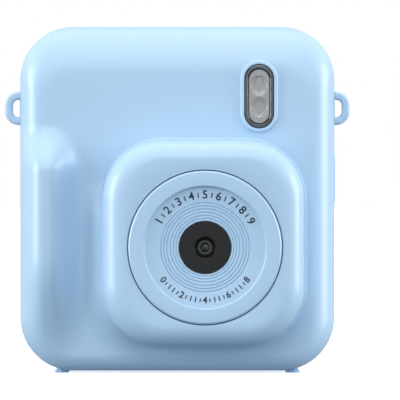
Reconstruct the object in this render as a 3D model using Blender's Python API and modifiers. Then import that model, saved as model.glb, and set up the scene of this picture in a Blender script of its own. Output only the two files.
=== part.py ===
"""Kids' digital camera in instant-camera style: separate pieces, with moving keys, port cover and card.

The front (lens) faces -Y, the screen faces +Y, +X is the right-hand side seen from the front, +Z is up.
All the sizes below are in millimetres; MM turns them into metres where a shape is made.
"""
import math

import bmesh
import bpy
from mathutils import Vector

MM = 0.001

# ---- driving sizes: body ----
HALF_WIDTH = 45.0          # body's half width, without the strap lugs
BODY_LOW = 0.6             # underside of the body above the table, which is the height of the feet
BODY_HIGH = 99.0           # top of the body
CORNER = 15.2              # corner radius of the outline seen from the front
WALL = 2.0                 # moulded wall
GAP = 0.3                  # assembly clearance between separate pieces
FRONT_FACE = -8.8          # flat upper front face
BACK_FACE = 23.2           # flat back face
PARTING = 5.0              # plane where the two shells meet
EDGE_SIDE = 7.0            # width of the rounding between side and front face
EDGE_TOP = 14.0            # width of the rounding between top and front face
EDGE_LOW = 5.0             # width of the rounding between underside and front face
EDGE_START = 0.0           # where the front rounding starts on the sides and top
EDGE_START_LOW = -3.8      # where it starts on the underside, further forward so the body stands firmly
BACK_EDGE = 6.0            # radius between the sides and the back face

# ---- grip bulge on the left of the front ----
GRIP_RISE = 7.5            # how far the bulge stands in front of the front face
GRIP_CREST = -36.5         # the bulge is full height from the side up to here
GRIP_VALLEY = -26.5        # and fades out here
GRIP_FULL_HIGH = 57.0      # full height below this level
GRIP_END_HIGH = 73.0       # nothing above this level
GRIP_FULL_LOW = 24.0       # below this level it sinks towards the underside
GRIP_END_LOW = 3.0

# ---- lens housing: a rounded square block standing out of the front ----
HOUSING_LEFT = -21.9
HOUSING_RIGHT = 37.0
HOUSING_LOW = 6.9
HOUSING_HIGH = 67.3
HOUSING_CORNER = 18.0
HOUSING_FACE = -23.6       # its flat front
HOUSING_DRAFT = 1.0        # slope of its side wall
HOUSING_EDGE = 5.7         # rounding between side wall and front
HOUSING_EDGE_LEFT = 6.2    # softer on the grip side
HOUSING_EDGE_INSIDE = 2.5  # rounding inside the wall
SKIRT_RISE = 5.0           # on the grip side the front face sweeps up to the housing's foot by this much
SKIRT_WIDTH = 6.5          # over this distance
SKIRT_FULL_HIGH = 42.0     # at full height below this level
SKIRT_END_HIGH = 56.0      # and gone above this one

# ---- lens ----
LENS_X = 7.94
LENS_Z = 35.9
RING_RADIUS = 21.8
RING_FRONT = -24.0
RING_BACK = -20.6
DISH_RADIUS = 17.2         # inner edge of the flat rim, where the dish starts
DISH_OUTER_Y = -23.0       # dish floor at its outer edge
DISH_INNER_Y = -22.5       # dish floor beside the black plate
GROOVE_RADII = (12.6, 11.75, 10.9, 9.9, 9.0, 8.2)
GROOVE_HALF = 0.22
GROOVE_DEPTH = 0.25
COVER_RADIUS = 7.3
COVER_THICK = 1.0
COVER_MOUTH = 3.07
COVER_THROAT = 2.3
COLLAR_RADIUS = 13.7       # rear collar of the ring, through the housing's hole
BARREL_RADIUS = 3.6
NOSE_RADIUS = 2.0
GLASS_RADIUS = 1.32
RECESS_WALL = 1.5          # floor of the ring's seat
SEAT_WALL = 1.1            # side wall round the ring's seat
DISH_WALL_SLOPE = 0.3
RING_EDGE = 0.35           # small edge round the ring's front
COVER_SINK = 0.4           # black plate below the dish floor
COVER_EDGE = 0.2
COLLAR_PAST = 0.4          # the collar ends this far behind the seat's floor
TUBE_WALL = 1.2            # tube that holds the barrel
TUBE_BACK = -13.2
BARREL_BACK = -11.0
SHOULDER_GAP = 0.5         # barrel's shoulder behind the plate
NOSE_SINK = 0.55           # barrel's nose behind the plate's front
GLASS_SINK = 0.25
GLASS_DOME = 0.45
GLASS_THICK = 1.3
GLASS_PLAY = 0.1
HOLDER_HALF = 5.0
HOLDER_BORE_DEPTH = 3.2
SENSOR_BOARD_FRONT = -8.7
SENSOR_BOARD_HALF = 7.5
SMALL_BOARD = 1.0          # thickness of the sensor and switch boards

# ---- flash ----
FLASH_X = 23.4
FLASH_Z = 79.0
FLASH_RIM = (10.7, 20.5)        # raised rim of the shell around the flash, width and height
FLASH_RIM_FRONT = -9.7
FLASH_TRIM = (8.25, 18.1)
FLASH_TRIM_FRONT = -9.5
FLASH_WINDOW = (5.9, 15.5)
FLASH_WINDOW_FRONT = -9.1
FLASH_WINDOW_BACK = -4.6
FLASH_LOBE = 3.6                # the two dimples sit this far above and below the centre
FLASH_DIMPLE = 2.4              # radius of a dimple
FLASH_DIMPLE_DEPTH = 0.7
FLASH_SLEEVE = 1.4              # the trim's sleeve ends this far behind the wall
FLASH_BOARD_FRONT = -1.0
FLASH_BOARD_HALF = 10.0
FLASH_BOARD_BELOW = 8.0
FLASH_BOARD_ABOVE = 4.5
FLASH_POST_X = 8.2              # the two posts that carry the board, each side of the centre
FLASH_POST_RADIUS = 1.5
FLASH_CHIP = 5.0
FLASH_CHIP_HIGH = 2.2

# ---- strap lugs ----
LUG_OUT = 49.4             # outermost point
LUG_LOW = 70.9
LUG_HIGH = 80.4
LUG_BAND = 2.3             # thickness of the loop's band
LUG_FRONT = -0.5
LUG_THICK = 3.0
LUG_CORNER = 3.2
LUG_ROOT = 3.4             # the root of the loop reaches this far in from the body's side
LUG_FLANGE = 1.6           # thickness of the flange behind the wall that holds the lug
LUG_LIP = 0.8              # and how far it stands past the loop all round
LUG_EYE_OFF = 0.15         # the eye starts this far off the body's side
LUG_EYE_CORNER = 1.0

# ---- feet ----
FOOT_X = 33.0
FOOT_FRONT_Y = -2.0
FOOT_BACK_Y = 16.0
FOOT_RADIUS = 2.0
FOOT_PAD = 0.8             # thickness of the pad
FOOT_EDGE = 0.15
FOOT_STEM_RADIUS = 0.9
FOOT_STEM_TOP = 3.2

# ---- top buttons ----
TOP_BUTTON_Y = 12.6
SHUTTER_X = -26.0
SHUTTER_RADIUS = 4.5
POWER_X = -12.0
POWER_RADIUS = 2.8
BUTTON_TOP = 98.9
TOP_TRAVEL = 0.6
SHUTTER_DISH = (30.0, 0.6)  # sphere radius and depth of the shallow dish round the button
POWER_DISH = (16.0, 0.5)
BUTTON_LIP = 0.8           # flange behind the wall
BUTTON_FLANGE = 0.9
BUTTON_STEM = 1.4
SWITCH_TOP = 94.0
SWITCH_SIZE = 6.0
SWITCH_PLUNGER = 0.8
SWITCH_PLUNGER_RADIUS = 1.6
SWITCH_POSTS = (-18.6, -6.5)    # posts that hold the switch board
SWITCH_POST_RADIUS = 1.3
TOP_BOARD_TOP = 90.8
TOP_BOARD_SIDE = 4.5       # board past the shutter's axis
TOP_BOARD_PAST = 7.5       # and past the power button's axis
TOP_BOARD_HALF = 5.2

# ---- back: screen and keys ----
SCREEN_Z = 66.0
SCREEN_OPENING = (42.0, 32.0)
SCREEN_WINDOW = (46.4, 36.4)
SCREEN_CORNER = 2.5
WINDOW_CORNER = 4.2
WINDOW_THICK = 1.0
PANEL = (50.0, 38.0, 2.2)
TRAY_WALL = 0.8
KEY_PAD_X = -18.0
KEY_PAD_Z = 32.5
KEY_PITCH = 8.2
KEY_RADIUS = 2.6
KEY_BIG_RADIUS = 3.2
KEY_TOP = 24.0
KEY_TRAVEL = 0.5
KEY_MODE_X = 9.0
KEY_PLAY_X = 23.0
KEY_PAIR_Z = 37.0
KEY_LIP = 0.7              # flange behind the wall
KEY_LIP_THICK = 0.8
KEY_STEM = 1.2
MAT_THICK = 0.6
MAT_MARGIN = 1.2
DOME_RISE = 0.5
DOME_RADIUS = 1.6
SPEAKER_X = 12.0
SPEAKER_Z = 11.8
SPEAKER = (15.0, 3.0, 9.6)
SOUND_HOLE_RADIUS = 0.7
SOUND_HOLE_PITCH = 2.6
LIGHT_X = 34.5
LIGHT_Z = 48.0
LIGHT_RADIUS = 1.2
LIGHT_TOP = 23.3
MIC_X = 34.5
MIC_Z = 40.0
MIC_HOLE_RADIUS = 0.6
MIC_RADIUS = 2.0
MIC_HIGH = 1.5

# ---- inside ----
TONGUE_THICK = 0.9         # tongue of the rear shell that reaches into the front shell
TONGUE_REACH = 1.2
BOARD_FRONT = 15.5
BOARD_THICK = 1.2
BOARD_BACK = BOARD_FRONT + BOARD_THICK
BOARD = (-38.0, 41.0, 17.0, 82.0)          # left, right, low, high
HOUSING_SCREW_X = 34.5
HOUSING_SCREW_Z = (12.0, 87.6)
POST_RADIUS = 3.2
POST_END = PARTING + GAP
BOSS_RADIUS = 3.0
POST_FLOOR = 1.7           # floor of the screw well
SCREW_HEAD = 1.9
SCREW_SHANK = 1.0
SCREW_LENGTH = 10.0
SCREW_PLAY = 0.1           # the thread bites into the pilot hole
PILOT_DEPTH = 8.6
BOARD_SCREWS = ((-34.0, 22.0), (-34.0, 48.0), (34.0, 22.0))
BOARD_SCREW_HEAD = 1.6
BOARD_SCREW_SHANK = 0.8
BOARD_SCREW_LENGTH = 4.6
BOARD_SCREW_BITE = 3.8
BOARD_POST_RADIUS = 2.2
PROCESSOR = (10.0, 60.0, 12.0)             # left, low, side
MEMORY = (26.0, 59.0, 8.0)
CHIP_THICK = 1.0
BATTERY = (34.0, 6.0, 50.0)
BATTERY_X = -24.0
BATTERY_Z = 41.0
PLUG = (6.0, 3.4, 5.0)
PLUG_X = -20.0
PLUG_Z = 70.0
WIRE_RADIUS = 0.45
WIRE_APART = 2.4

# ---- side: port, cover and card ----
PORT_Y = 13.6
PORT_Z = 55.7
PORT_MOUTH = (9.6, 3.9)                    # opening in the wall, along Z and along Y
PORT_SHELL = (8.94, 3.2)
PORT_LENGTH = 7.0
PORT_SHEET = 0.35
PORT_FLOOR = 1.4
PORT_TONGUE = (6.6, 0.7)
PORT_TONGUE_SINK = 0.8
MOUTH_CORNER = 1.6
COVER_LENGTH = 13.8
COVER_WIDTH = 7.0
COVER_OUT = 45.4
COVER_SEAT = 44.1
COVER_CORNER = 1.5
COVER_SHEET = 1.0
COVER_PLUG = 1.6                           # the plug under the cover reaches into the mouth
HINGE_X = COVER_OUT - COVER_SHEET / 2      # the silicone bends in the middle of its sheet
HINGE_RISE = 0.5                           # the hinge line is this far above the cover's lower end
TETHER_DROP = 0.4
TETHER_RADIUS = 0.5
TETHER_HEAD = 1.3
CARD_Z = 34.0
CARD = (14.8, 0.7, 11.0)
CARD_Y = 13.9
CARD_OUT = 44.7
CARD_PUSH = 0.6
SLOT_PLAY = 0.4
SOCKET_SHEET = 0.6

ARC_STEPS = 7              # steps of one corner of an outline
# where the points stand along the right, top, left and bottom sides of the front's rings: closer together
# at the head of the grip and along its foot, where the surface bends most
FRONT_SIDES = ((0.0, 0.2, 0.4, 0.6, 0.8), (0.0, 0.3, 0.65),
               (0.0, 0.08, 0.15, 0.2, 0.25, 0.3, 0.36, 0.44, 0.56, 0.7, 0.84, 0.93),
               (0.0, 0.06, 0.14, 0.26, 0.45, 0.7))
PLAIN_SIDES = ((0.0,),) * 4
ROUND_STEPS = 16           # steps of a small turned piece


# ---- scene and helpers ----
for old in list(bpy.data.objects):
    bpy.data.objects.remove(old, do_unlink=True)

parts = bpy.data.collections.new("kids_digital_camera")
bpy.context.scene.collection.children.link(parts)
tools = bpy.data.collections.new("shaping_bodies")
bpy.context.scene.collection.children.link(tools)


def material(name, colour, roughness, metallic=0.0, alpha=1.0):
    """A plain surface for one piece."""
    made = bpy.data.materials.new(name)
    made.use_nodes = True
    shader = made.node_tree.nodes["Principled BSDF"]
    shader.inputs["Base Color"].default_value = (colour[0], colour[1], colour[2], 1.0)
    shader.inputs["Roughness"].default_value = roughness
    shader.inputs["Metallic"].default_value = metallic
    shader.inputs["Alpha"].default_value = alpha
    return made


BLUE = (0.40, 0.63, 0.83)
BLACK = (0.02, 0.02, 0.02)
BOARD_GREEN = (0.02, 0.16, 0.07)
STEEL = (0.60, 0.60, 0.62)
KEY_WHITE = (0.85, 0.9, 0.95)


def new_object(name, mesh, surface=None, home=parts):
    """Puts a mesh in the scene, among the camera's pieces or among the hidden shaping bodies."""
    made = bpy.data.objects.new(name, mesh)
    home.objects.link(made)
    if surface:
        made.data.materials.append(surface)
    if home is tools:
        made.hide_render = True
        made.display_type = "WIRE"
    return made


def smooth(piece, angle=35.0):
    """Shades the curved faces smooth and keeps the real edges sharp."""
    piece.data.shade_smooth()
    piece.data.set_sharp_from_angle(angle=math.radians(angle))
    return piece


def boolean(piece, other, operation):
    """Cuts another body out of a piece, or joins it on."""
    step = piece.modifiers.new(other.name, "BOOLEAN")
    step.operation = operation
    step.solver = "EXACT"
    step.object = other


def block(name, low, high, surface=None, home=parts, bevel=0.0):
    """A box between two corners, with its edges broken by the bevel's width."""
    centre = [(a + b) / 2 for a, b in zip(low, high)]
    bm = bmesh.new()
    bmesh.ops.create_cube(bm, size=MM)
    bmesh.ops.scale(bm, vec=[b - a for a, b in zip(low, high)], verts=bm.verts)
    mesh = bpy.data.meshes.new(name)
    bm.to_mesh(mesh)
    bm.free()
    made = new_object(name, mesh, surface, home)
    made.location = [value * MM for value in centre]
    if bevel:
        step = made.modifiers.new("edges", "BEVEL")
        step.width = bevel * MM
        step.segments = 1
    return made


TURN = {"-Y": (math.pi / 2, 0, 0), "+Y": (-math.pi / 2, 0, 0), "+Z": (0, 0, 0), "+X": (0, math.pi / 2, 0)}


def turned(name, profile, centre, way, surface=None, home=parts, closed=False, steps=ROUND_STEPS):
    """Spins a profile of (radius, height) points, top to bottom down its outer side, about an axis.

    way names the direction in which the height runs; closed joins the last point to the first, for a ring.
    """
    mesh = bpy.data.meshes.new(name)
    count = len(profile)
    edges = [(k, k + 1) for k in range(count - 1)]
    if closed:
        edges.append((count - 1, 0))
    mesh.from_pydata([(r * MM, 0, h * MM) for r, h in profile], edges, [])
    made = new_object(name, mesh, surface, home)
    spin = made.modifiers.new("spin", "SCREW")
    spin.axis = "Z"
    spin.steps = steps
    spin.render_steps = steps
    spin.use_merge_vertices = True
    spin.merge_threshold = 0.00001
    spin.use_smooth_shade = False
    made.location = [value * MM for value in centre]
    made.rotation_euler = TURN[way]
    return made


def flat(name, outline, thick, centre, way="front", surface=None, home=parts, holes=()):
    """A flat piece of the given outline, its thickness centred on the centre.

    way "front" lays the outline in the X-Z plane and "side" in the Y-Z plane.
    """
    curve = bpy.data.curves.new(name, "CURVE")
    curve.dimensions = "2D"
    curve.fill_mode = "BOTH"
    curve.extrude = thick / 2 * MM
    for loop in (outline,) + tuple(holes):
        spline = curve.splines.new("POLY")
        spline.points.add(len(loop) - 1)
        for point, (u, v) in zip(spline.points, loop):
            point.co = (u * MM, v * MM, 0, 1)
        spline.use_cyclic_u = True
    return from_curve(name, curve, centre, way, surface, home)


LAY = {"front": (math.pi / 2, 0, 0), "side": (math.pi / 2, 0, math.pi / 2), "world": (0, 0, 0)}


def from_curve(name, curve, centre, way, surface, home=parts):
    """Turns a curve into a closed mesh piece."""
    drawn = bpy.data.objects.new(name, curve)
    parts.objects.link(drawn)
    bpy.context.view_layer.update()
    ready = drawn.evaluated_get(bpy.context.evaluated_depsgraph_get())
    mesh = bpy.data.meshes.new_from_object(ready)
    bpy.data.objects.remove(drawn, do_unlink=True)
    bm = bmesh.new()
    bm.from_mesh(mesh)
    bmesh.ops.remove_doubles(bm, verts=bm.verts, dist=0.000001)
    bm.to_mesh(mesh)
    bm.free()
    mesh.materials.clear()
    made = new_object(name, mesh, surface, home)
    made.location = [value * MM for value in centre]
    made.rotation_euler = LAY[way]
    return made


def ring(left, right, low, high, radius, arc=ARC_STEPS, sides=FRONT_SIDES):
    """Points of a rounded rectangle in the X-Z plane with the outward direction at each.

    Runs anticlockwise seen from the front, starting at the foot of the right-hand side. Each point is
    (x, z, outward x, outward z).
    """
    centres = ((right - radius, high - radius), (left + radius, high - radius),
               (left + radius, low + radius), (right - radius, low + radius))
    points = []
    for k in range(4):
        before = centres[k - 1]
        here = centres[k]
        turn = math.pi / 2 * k
        out = (math.cos(turn), math.sin(turn))
        for share in sides[k]:
            x = before[0] + (here[0] - before[0]) * share + radius * out[0]
            z = before[1] + (here[1] - before[1]) * share + radius * out[1]
            points.append((x, z, out[0], out[1]))
        for s in range(arc):
            angle = turn + math.pi / 2 * s / arc
            c = math.cos(angle)
            d = math.sin(angle)
            points.append((here[0] + radius * c, here[1] + radius * d, c, d))
    return points


FULL_ROUND = 99.0          # asks for the roundest end that fits, which makes a capsule


def outline(width, height, radius, arc=6):
    """A rounded rectangle about the origin; the radius is limited to just under half of its narrow side."""
    radius = min(radius, width / 2 - 0.001, height / 2 - 0.001)
    loop = ring(-width / 2, width / 2, -height / 2, height / 2, radius, arc, PLAIN_SIDES)
    return [(x, z) for x, z, _, _ in loop]


def loft(name, rings, surface=None, home=parts):
    """Skins a list of equal rings of world points and caps both ends."""
    bm = bmesh.new()
    rows = [[bm.verts.new([value * MM for value in point]) for point in row] for row in rings]
    count = len(rows[0])
    bm.faces.new(list(reversed(rows[0])))
    bm.faces.new(rows[-1])
    for this, following in zip(rows, rows[1:]):
        for k in range(count):
            n = (k + 1) % count
            bm.faces.new((this[k], this[n], following[n], following[k]))
    mesh = bpy.data.meshes.new(name)
    bm.to_mesh(mesh)
    bm.free()
    return new_object(name, mesh, surface, home)


def fade(value, full, none):
    """1 at full, 0 at none, with a soft start and end."""
    share = min(1.0, max(0.0, (value - full) / (none - full)))
    return 0.5 + 0.5 * math.cos(math.pi * share)


def skirt(x, z):
    """The soft sweep of the front face up to the foot of the housing, on the grip side only."""
    middle_x = (HOUSING_LEFT + HOUSING_RIGHT) / 2
    middle_z = (HOUSING_LOW + HOUSING_HIGH) / 2
    across = max(0.0, abs(x - middle_x) - (HOUSING_RIGHT - HOUSING_LEFT) / 2 + HOUSING_CORNER)
    up = max(0.0, abs(z - middle_z) - (HOUSING_HIGH - HOUSING_LOW) / 2 + HOUSING_CORNER)
    reach = math.hypot(across, up)
    away = max(0.0, reach - HOUSING_CORNER)
    if x > middle_x or reach == 0.0 or away > SKIRT_WIDTH:
        return 0.0
    along = fade(z, SKIRT_FULL_HIGH, SKIRT_END_HIGH)
    return SKIRT_RISE * along * (across / reach) ** 2 * (1.0 - away / SKIRT_WIDTH) ** 2


def front_surface(x, z):
    """Y of the front face: flat, with the grip bulge on its left and the skirt of the housing."""
    along = fade(z, GRIP_FULL_HIGH, GRIP_END_HIGH) * fade(-z, -GRIP_FULL_LOW, -GRIP_END_LOW)
    return FRONT_FACE - GRIP_RISE * fade(x, GRIP_CREST, GRIP_VALLEY) * along - skirt(x, z)


def edge_ring(turn, inset):
    """Ring of the rounding from the sides (turn 0) to the front face (turn 90 degrees)."""
    share = 1.0 - math.cos(turn)
    rise = math.sin(turn)
    side = inset + (EDGE_SIDE - inset) * share
    loop = ring(-HALF_WIDTH + side, HALF_WIDTH - side, BODY_LOW + inset + (EDGE_LOW - inset) * share,
                BODY_HIGH - inset - (EDGE_TOP - inset) * share, CORNER - side)
    points = []
    for x, z, _, up in loop:
        start = EDGE_START + (EDGE_START_LOW - EDGE_START) * max(0.0, -up) ** 2
        points.append((x, start + (front_surface(x, z) + inset - start) * rise, z))
    return points


def flat_ring(inset, y, sides=FRONT_SIDES):
    """The body's outline, drawn in by the inset, at one depth."""
    loop = ring(-HALF_WIDTH + inset, HALF_WIDTH - inset, BODY_LOW + inset, BODY_HIGH - inset, CORNER - inset,
                ARC_STEPS, sides)
    return [(x, y, z) for x, z, _, _ in loop]


def housing_loop(draw_in, draw_in_left):
    """Outline of the lens housing, drawn in from its foot."""
    return ring(HOUSING_LEFT + draw_in_left, HOUSING_RIGHT - draw_in, HOUSING_LOW + draw_in,
                HOUSING_HIGH - draw_in, HOUSING_CORNER - min(draw_in, draw_in_left))


def housing_rings(inset, edge, edge_left, turns):
    """The housing from its foot up to its flat front, outside (inset 0) or inside the wall."""
    rows = [[(x, front_surface(x, z) + inset, z) for x, z, _, _ in housing_loop(inset, inset)]]
    for turn in turns:
        share = 1.0 - math.cos(turn)
        start = inset + HOUSING_DRAFT
        loop = housing_loop(start + edge * share, start + edge_left * share)
        rows.append([(x, HOUSING_FACE + inset + edge * (1.0 - math.sin(turn)), z) for x, z, _, _ in loop])
    return rows


def between(first, second, share, inset):
    """A ring part of the way across the front face."""
    points = []
    for a, b in zip(first, second):
        x = a[0] + (b[0] - a[0]) * share
        z = a[2] + (b[2] - a[2]) * share
        points.append((x, front_surface(x, z) + inset, z))
    return points


def lens_circle(guide, radius, y):
    """A circle round the lens axis with its points facing those of the guide ring."""
    points = []
    for x, _, z in guide:
        away = Vector((x - LENS_X, z - LENS_Z)).normalized()
        points.append((LENS_X + radius * away.x, y, LENS_Z + radius * away.y))
    return points


def steps_to(count):
    """Angles from 0 to 90 degrees in equal steps."""
    return [math.pi / 2 * k / count for k in range(count + 1)]


# ---- front shell: rounded front with the grip bulge and the lens housing, one moulding ----
RECESS_RADIUS = RING_RADIUS + GAP
RECESS_FLOOR = RING_BACK + GAP
HOLE_RADIUS = COLLAR_RADIUS + GAP
FLOOR_INSIDE = RECESS_FLOOR + RECESS_WALL
SEAT_OUTER = RECESS_RADIUS + SEAT_WALL
ACROSS = (0.14, 0.28, 0.42, 0.56, 0.72, 0.88)
BEYOND = 1.0               # shaping bodies run this far past what they cut
THROUGH = 4.0              # and this far to each side of a wall they pierce
DEEP = 40.0                # longer than the camera is deep

edge = [edge_ring(turn, 0.0) for turn in steps_to(5)]
rise = housing_rings(0.0, HOUSING_EDGE, HOUSING_EDGE_LEFT, steps_to(4))
skin = [flat_ring(0.0, PARTING)] + edge + [between(edge[-1], rise[0], share, 0.0) for share in ACROSS] + rise
skin.append(lens_circle(rise[-1], RECESS_RADIUS, HOUSING_FACE))
skin.append(lens_circle(rise[-1], RECESS_RADIUS, RECESS_FLOOR))
front_shell = loft("front_shell", skin, material("front_shell", BLUE, 0.38))

edge = [edge_ring(turn, WALL) for turn in steps_to(3)]
rise = housing_rings(WALL, HOUSING_EDGE_INSIDE, HOUSING_EDGE_INSIDE, steps_to(2))
lining = [flat_ring(WALL, PARTING + BEYOND)] + edge
lining += [between(edge[-1], rise[0], share, WALL) for share in ACROSS] + rise
lining.append(lens_circle(rise[-1], SEAT_OUTER, HOUSING_FACE + WALL))
lining.append(lens_circle(rise[-1], SEAT_OUTER, FLOOR_INSIDE))
cavity = loft("front_cavity", lining, home=tools)


def rod(name, radius, centre, way, start, end, steps=16):
    """A plain round shaping body along an axis, from start to end measured from the centre."""
    profile = [(0, end), (radius, end), (radius, start), (0, start)]
    return turned(name, profile, centre, way, home=tools, steps=steps)


# solid bosses are left standing when the hollow is cut out
for x in (-HOUSING_SCREW_X, HOUSING_SCREW_X):
    for z in HOUSING_SCREW_Z:
        boolean(cavity, rod("boss", BOSS_RADIUS, (x, PARTING, z), "-Y", -2 * BEYOND, DEEP), "DIFFERENCE")
for side in (-1, 1):
    place = (FLASH_X + side * FLASH_POST_X, FLASH_BOARD_FRONT - GAP, FLASH_Z)
    boolean(cavity, rod("flash_post", FLASH_POST_RADIUS, place, "-Y", 0, DEEP, 10), "DIFFERENCE")
boolean(front_shell, cavity, "DIFFERENCE")

rim_back = FRONT_FACE + WALL / 2
rim = flat("flash_rim", outline(*FLASH_RIM, FULL_ROUND, 8), rim_back - FLASH_RIM_FRONT,
           (FLASH_X, (FLASH_RIM_FRONT + rim_back) / 2, FLASH_Z), home=tools)
boolean(front_shell, rim, "UNION")
hole_size = [size + 2 * GAP for size in FLASH_TRIM]
flash_hole = flat("flash_hole", outline(*hole_size, FULL_ROUND, 8), 5 * THROUGH,
                  (FLASH_X, FRONT_FACE, FLASH_Z), home=tools)
boolean(front_shell, flash_hole, "DIFFERENCE")
lens_hole = rod("lens_hole", HOLE_RADIUS, (LENS_X, HOUSING_FACE, LENS_Z), "-Y", -2 * THROUGH, THROUGH, 40)
boolean(front_shell, lens_hole, "DIFFERENCE")
for x in (-HOUSING_SCREW_X, HOUSING_SCREW_X):
    for z in HOUSING_SCREW_Z:
        pilot = rod("pilot", SCREW_SHANK + SCREW_PLAY, (x, PARTING, z), "-Y", -BEYOND, PILOT_DEPTH, 12)
        boolean(front_shell, pilot, "DIFFERENCE")
LUG_Y = LUG_FRONT + LUG_THICK / 2
LUG_MIDDLE = (LUG_LOW + LUG_HIGH) / 2
for side in (-1, 1):
    middle = Vector((side * (HALF_WIDTH - LUG_ROOT / 2 + BEYOND), LUG_Y, LUG_MIDDLE))
    half = Vector((LUG_ROOT / 2 + BEYOND, LUG_THICK / 2 + GAP, (LUG_HIGH - LUG_LOW) / 2 + GAP))
    boolean(front_shell, block("lug_slot", middle - half, middle + half, home=tools), "DIFFERENCE")


def foot_socket(shell, x, y):
    """Pocket and stem hole for one push-in foot."""
    stem = FOOT_STEM_RADIUS + GAP
    wide = FOOT_RADIUS + GAP
    top = FOOT_PAD + GAP - BODY_LOW
    profile = [(0, THROUGH), (stem, THROUGH), (stem, top), (wide, top), (wide, -BEYOND), (0, -BEYOND)]
    boolean(shell, turned("foot_socket", profile, (x, y, BODY_LOW), "+Z", home=tools), "DIFFERENCE")


for x in (-FOOT_X, FOOT_X):
    foot_socket(front_shell, x, FOOT_FRONT_Y)

# ---- rear shell: back half with posts, screen opening, key holes and the side openings ----
TONGUE_OUT = WALL + GAP
TONGUE_IN = TONGUE_OUT + TONGUE_THICK
REAR_FRONT = PARTING + GAP
STRAIGHT_END = BACK_FACE - BACK_EDGE


def rear_ring(inset, y):
    """A ring of the rear shell, which needs no points along its straight sides."""
    return flat_ring(inset, y, PLAIN_SIDES)


def back_ring(turn, inset):
    """Ring of the rounding from the flat back (turn 0) to the sides (turn 90 degrees)."""
    radius = BACK_EDGE - inset
    draw_in = inset + radius * (1.0 - math.sin(turn))
    return rear_ring(draw_in, STRAIGHT_END + radius * math.cos(turn))


rear_skin = [back_ring(turn, 0.0) for turn in steps_to(4)]
rear_skin += [rear_ring(0.0, REAR_FRONT), rear_ring(TONGUE_OUT, REAR_FRONT),
              rear_ring(TONGUE_OUT, PARTING - TONGUE_REACH)]
rear_shell = loft("rear_shell", rear_skin, material("rear_shell", BLUE, 0.38))
hollow = [back_ring(turn, WALL) for turn in steps_to(3)]
hollow += [rear_ring(WALL, PARTING + 1.8), rear_ring(TONGUE_IN, PARTING + 1.0),
           rear_ring(TONGUE_IN, PARTING - TONGUE_REACH - BEYOND)]
hollow = loft("rear_hollow", hollow, home=tools)
INNER_BACK = BACK_FACE - WALL
for x in (-HOUSING_SCREW_X, HOUSING_SCREW_X):
    for z in HOUSING_SCREW_Z:
        boolean(hollow, rod("post", POST_RADIUS, (x, POST_END, z), "+Y", 0, DEEP), "DIFFERENCE")
BOARD_POST_END = BOARD_BACK + GAP
for x, z in BOARD_SCREWS:
    post = rod("board_post", BOARD_POST_RADIUS, (x, BOARD_POST_END, z), "+Y", 0, DEEP, 12)
    boolean(hollow, post, "DIFFERENCE")
for x in SWITCH_POSTS:
    post = rod("switch_post", SWITCH_POST_RADIUS, (x, TOP_BUTTON_Y, TOP_BOARD_TOP + GAP), "+Z", 0, DEEP, 10)
    boolean(hollow, post, "DIFFERENCE")
boolean(rear_shell, hollow, "DIFFERENCE")
HEAD_SEAT = POST_END + POST_FLOOR
for x in (-HOUSING_SCREW_X, HOUSING_SCREW_X):
    for z in HOUSING_SCREW_Z:
        well = [(0, DEEP), (SCREW_HEAD + GAP, DEEP), (SCREW_HEAD + GAP, POST_FLOOR),
                (SCREW_SHANK + GAP, POST_FLOOR), (SCREW_SHANK + GAP, -BEYOND), (0, -BEYOND)]
        boolean(rear_shell, turned("screw_well", well, (x, POST_END, z), "+Y", home=tools), "DIFFERENCE")
for x, z in BOARD_SCREWS:
    pilot = rod("board_pilot", BOARD_SCREW_SHANK + SCREW_PLAY, (x, BOARD_POST_END, z), "+Y",
                -BEYOND, BOARD_SCREW_BITE, 10)
    boolean(rear_shell, pilot, "DIFFERENCE")

screen_hole = flat("screen_hole", outline(*SCREEN_OPENING, SCREEN_CORNER), 2 * THROUGH,
                   (0, BACK_FACE, SCREEN_Z), home=tools)
boolean(rear_shell, screen_hole, "DIFFERENCE")
WINDOW_SEAT = BACK_FACE - WINDOW_THICK - GAP
step_size = [size + 2 * GAP for size in SCREEN_WINDOW]
screen_step = flat("screen_step", outline(*step_size, WINDOW_CORNER + GAP), THROUGH,
                   (0, WINDOW_SEAT + THROUGH / 2, SCREEN_Z), home=tools)
boolean(rear_shell, screen_step, "DIFFERENCE")

KEYS = (("key_up", KEY_PAD_X, KEY_PAD_Z + KEY_PITCH, KEY_RADIUS),
        ("key_down", KEY_PAD_X, KEY_PAD_Z - KEY_PITCH, KEY_RADIUS),
        ("key_left", KEY_PAD_X + KEY_PITCH, KEY_PAD_Z, KEY_RADIUS),
        ("key_right", KEY_PAD_X - KEY_PITCH, KEY_PAD_Z, KEY_RADIUS),
        ("key_ok", KEY_PAD_X, KEY_PAD_Z, KEY_BIG_RADIUS),
        ("key_mode", KEY_MODE_X, KEY_PAIR_Z, KEY_BIG_RADIUS),
        ("key_play", KEY_PLAY_X, KEY_PAIR_Z, KEY_BIG_RADIUS))


def pierce(name, radius, centre, way, steps=ROUND_STEPS):
    """A round hole through the rear shell's wall."""
    boolean(rear_shell, rod(name, radius, centre, way, -THROUGH, THROUGH, steps), "DIFFERENCE")


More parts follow.
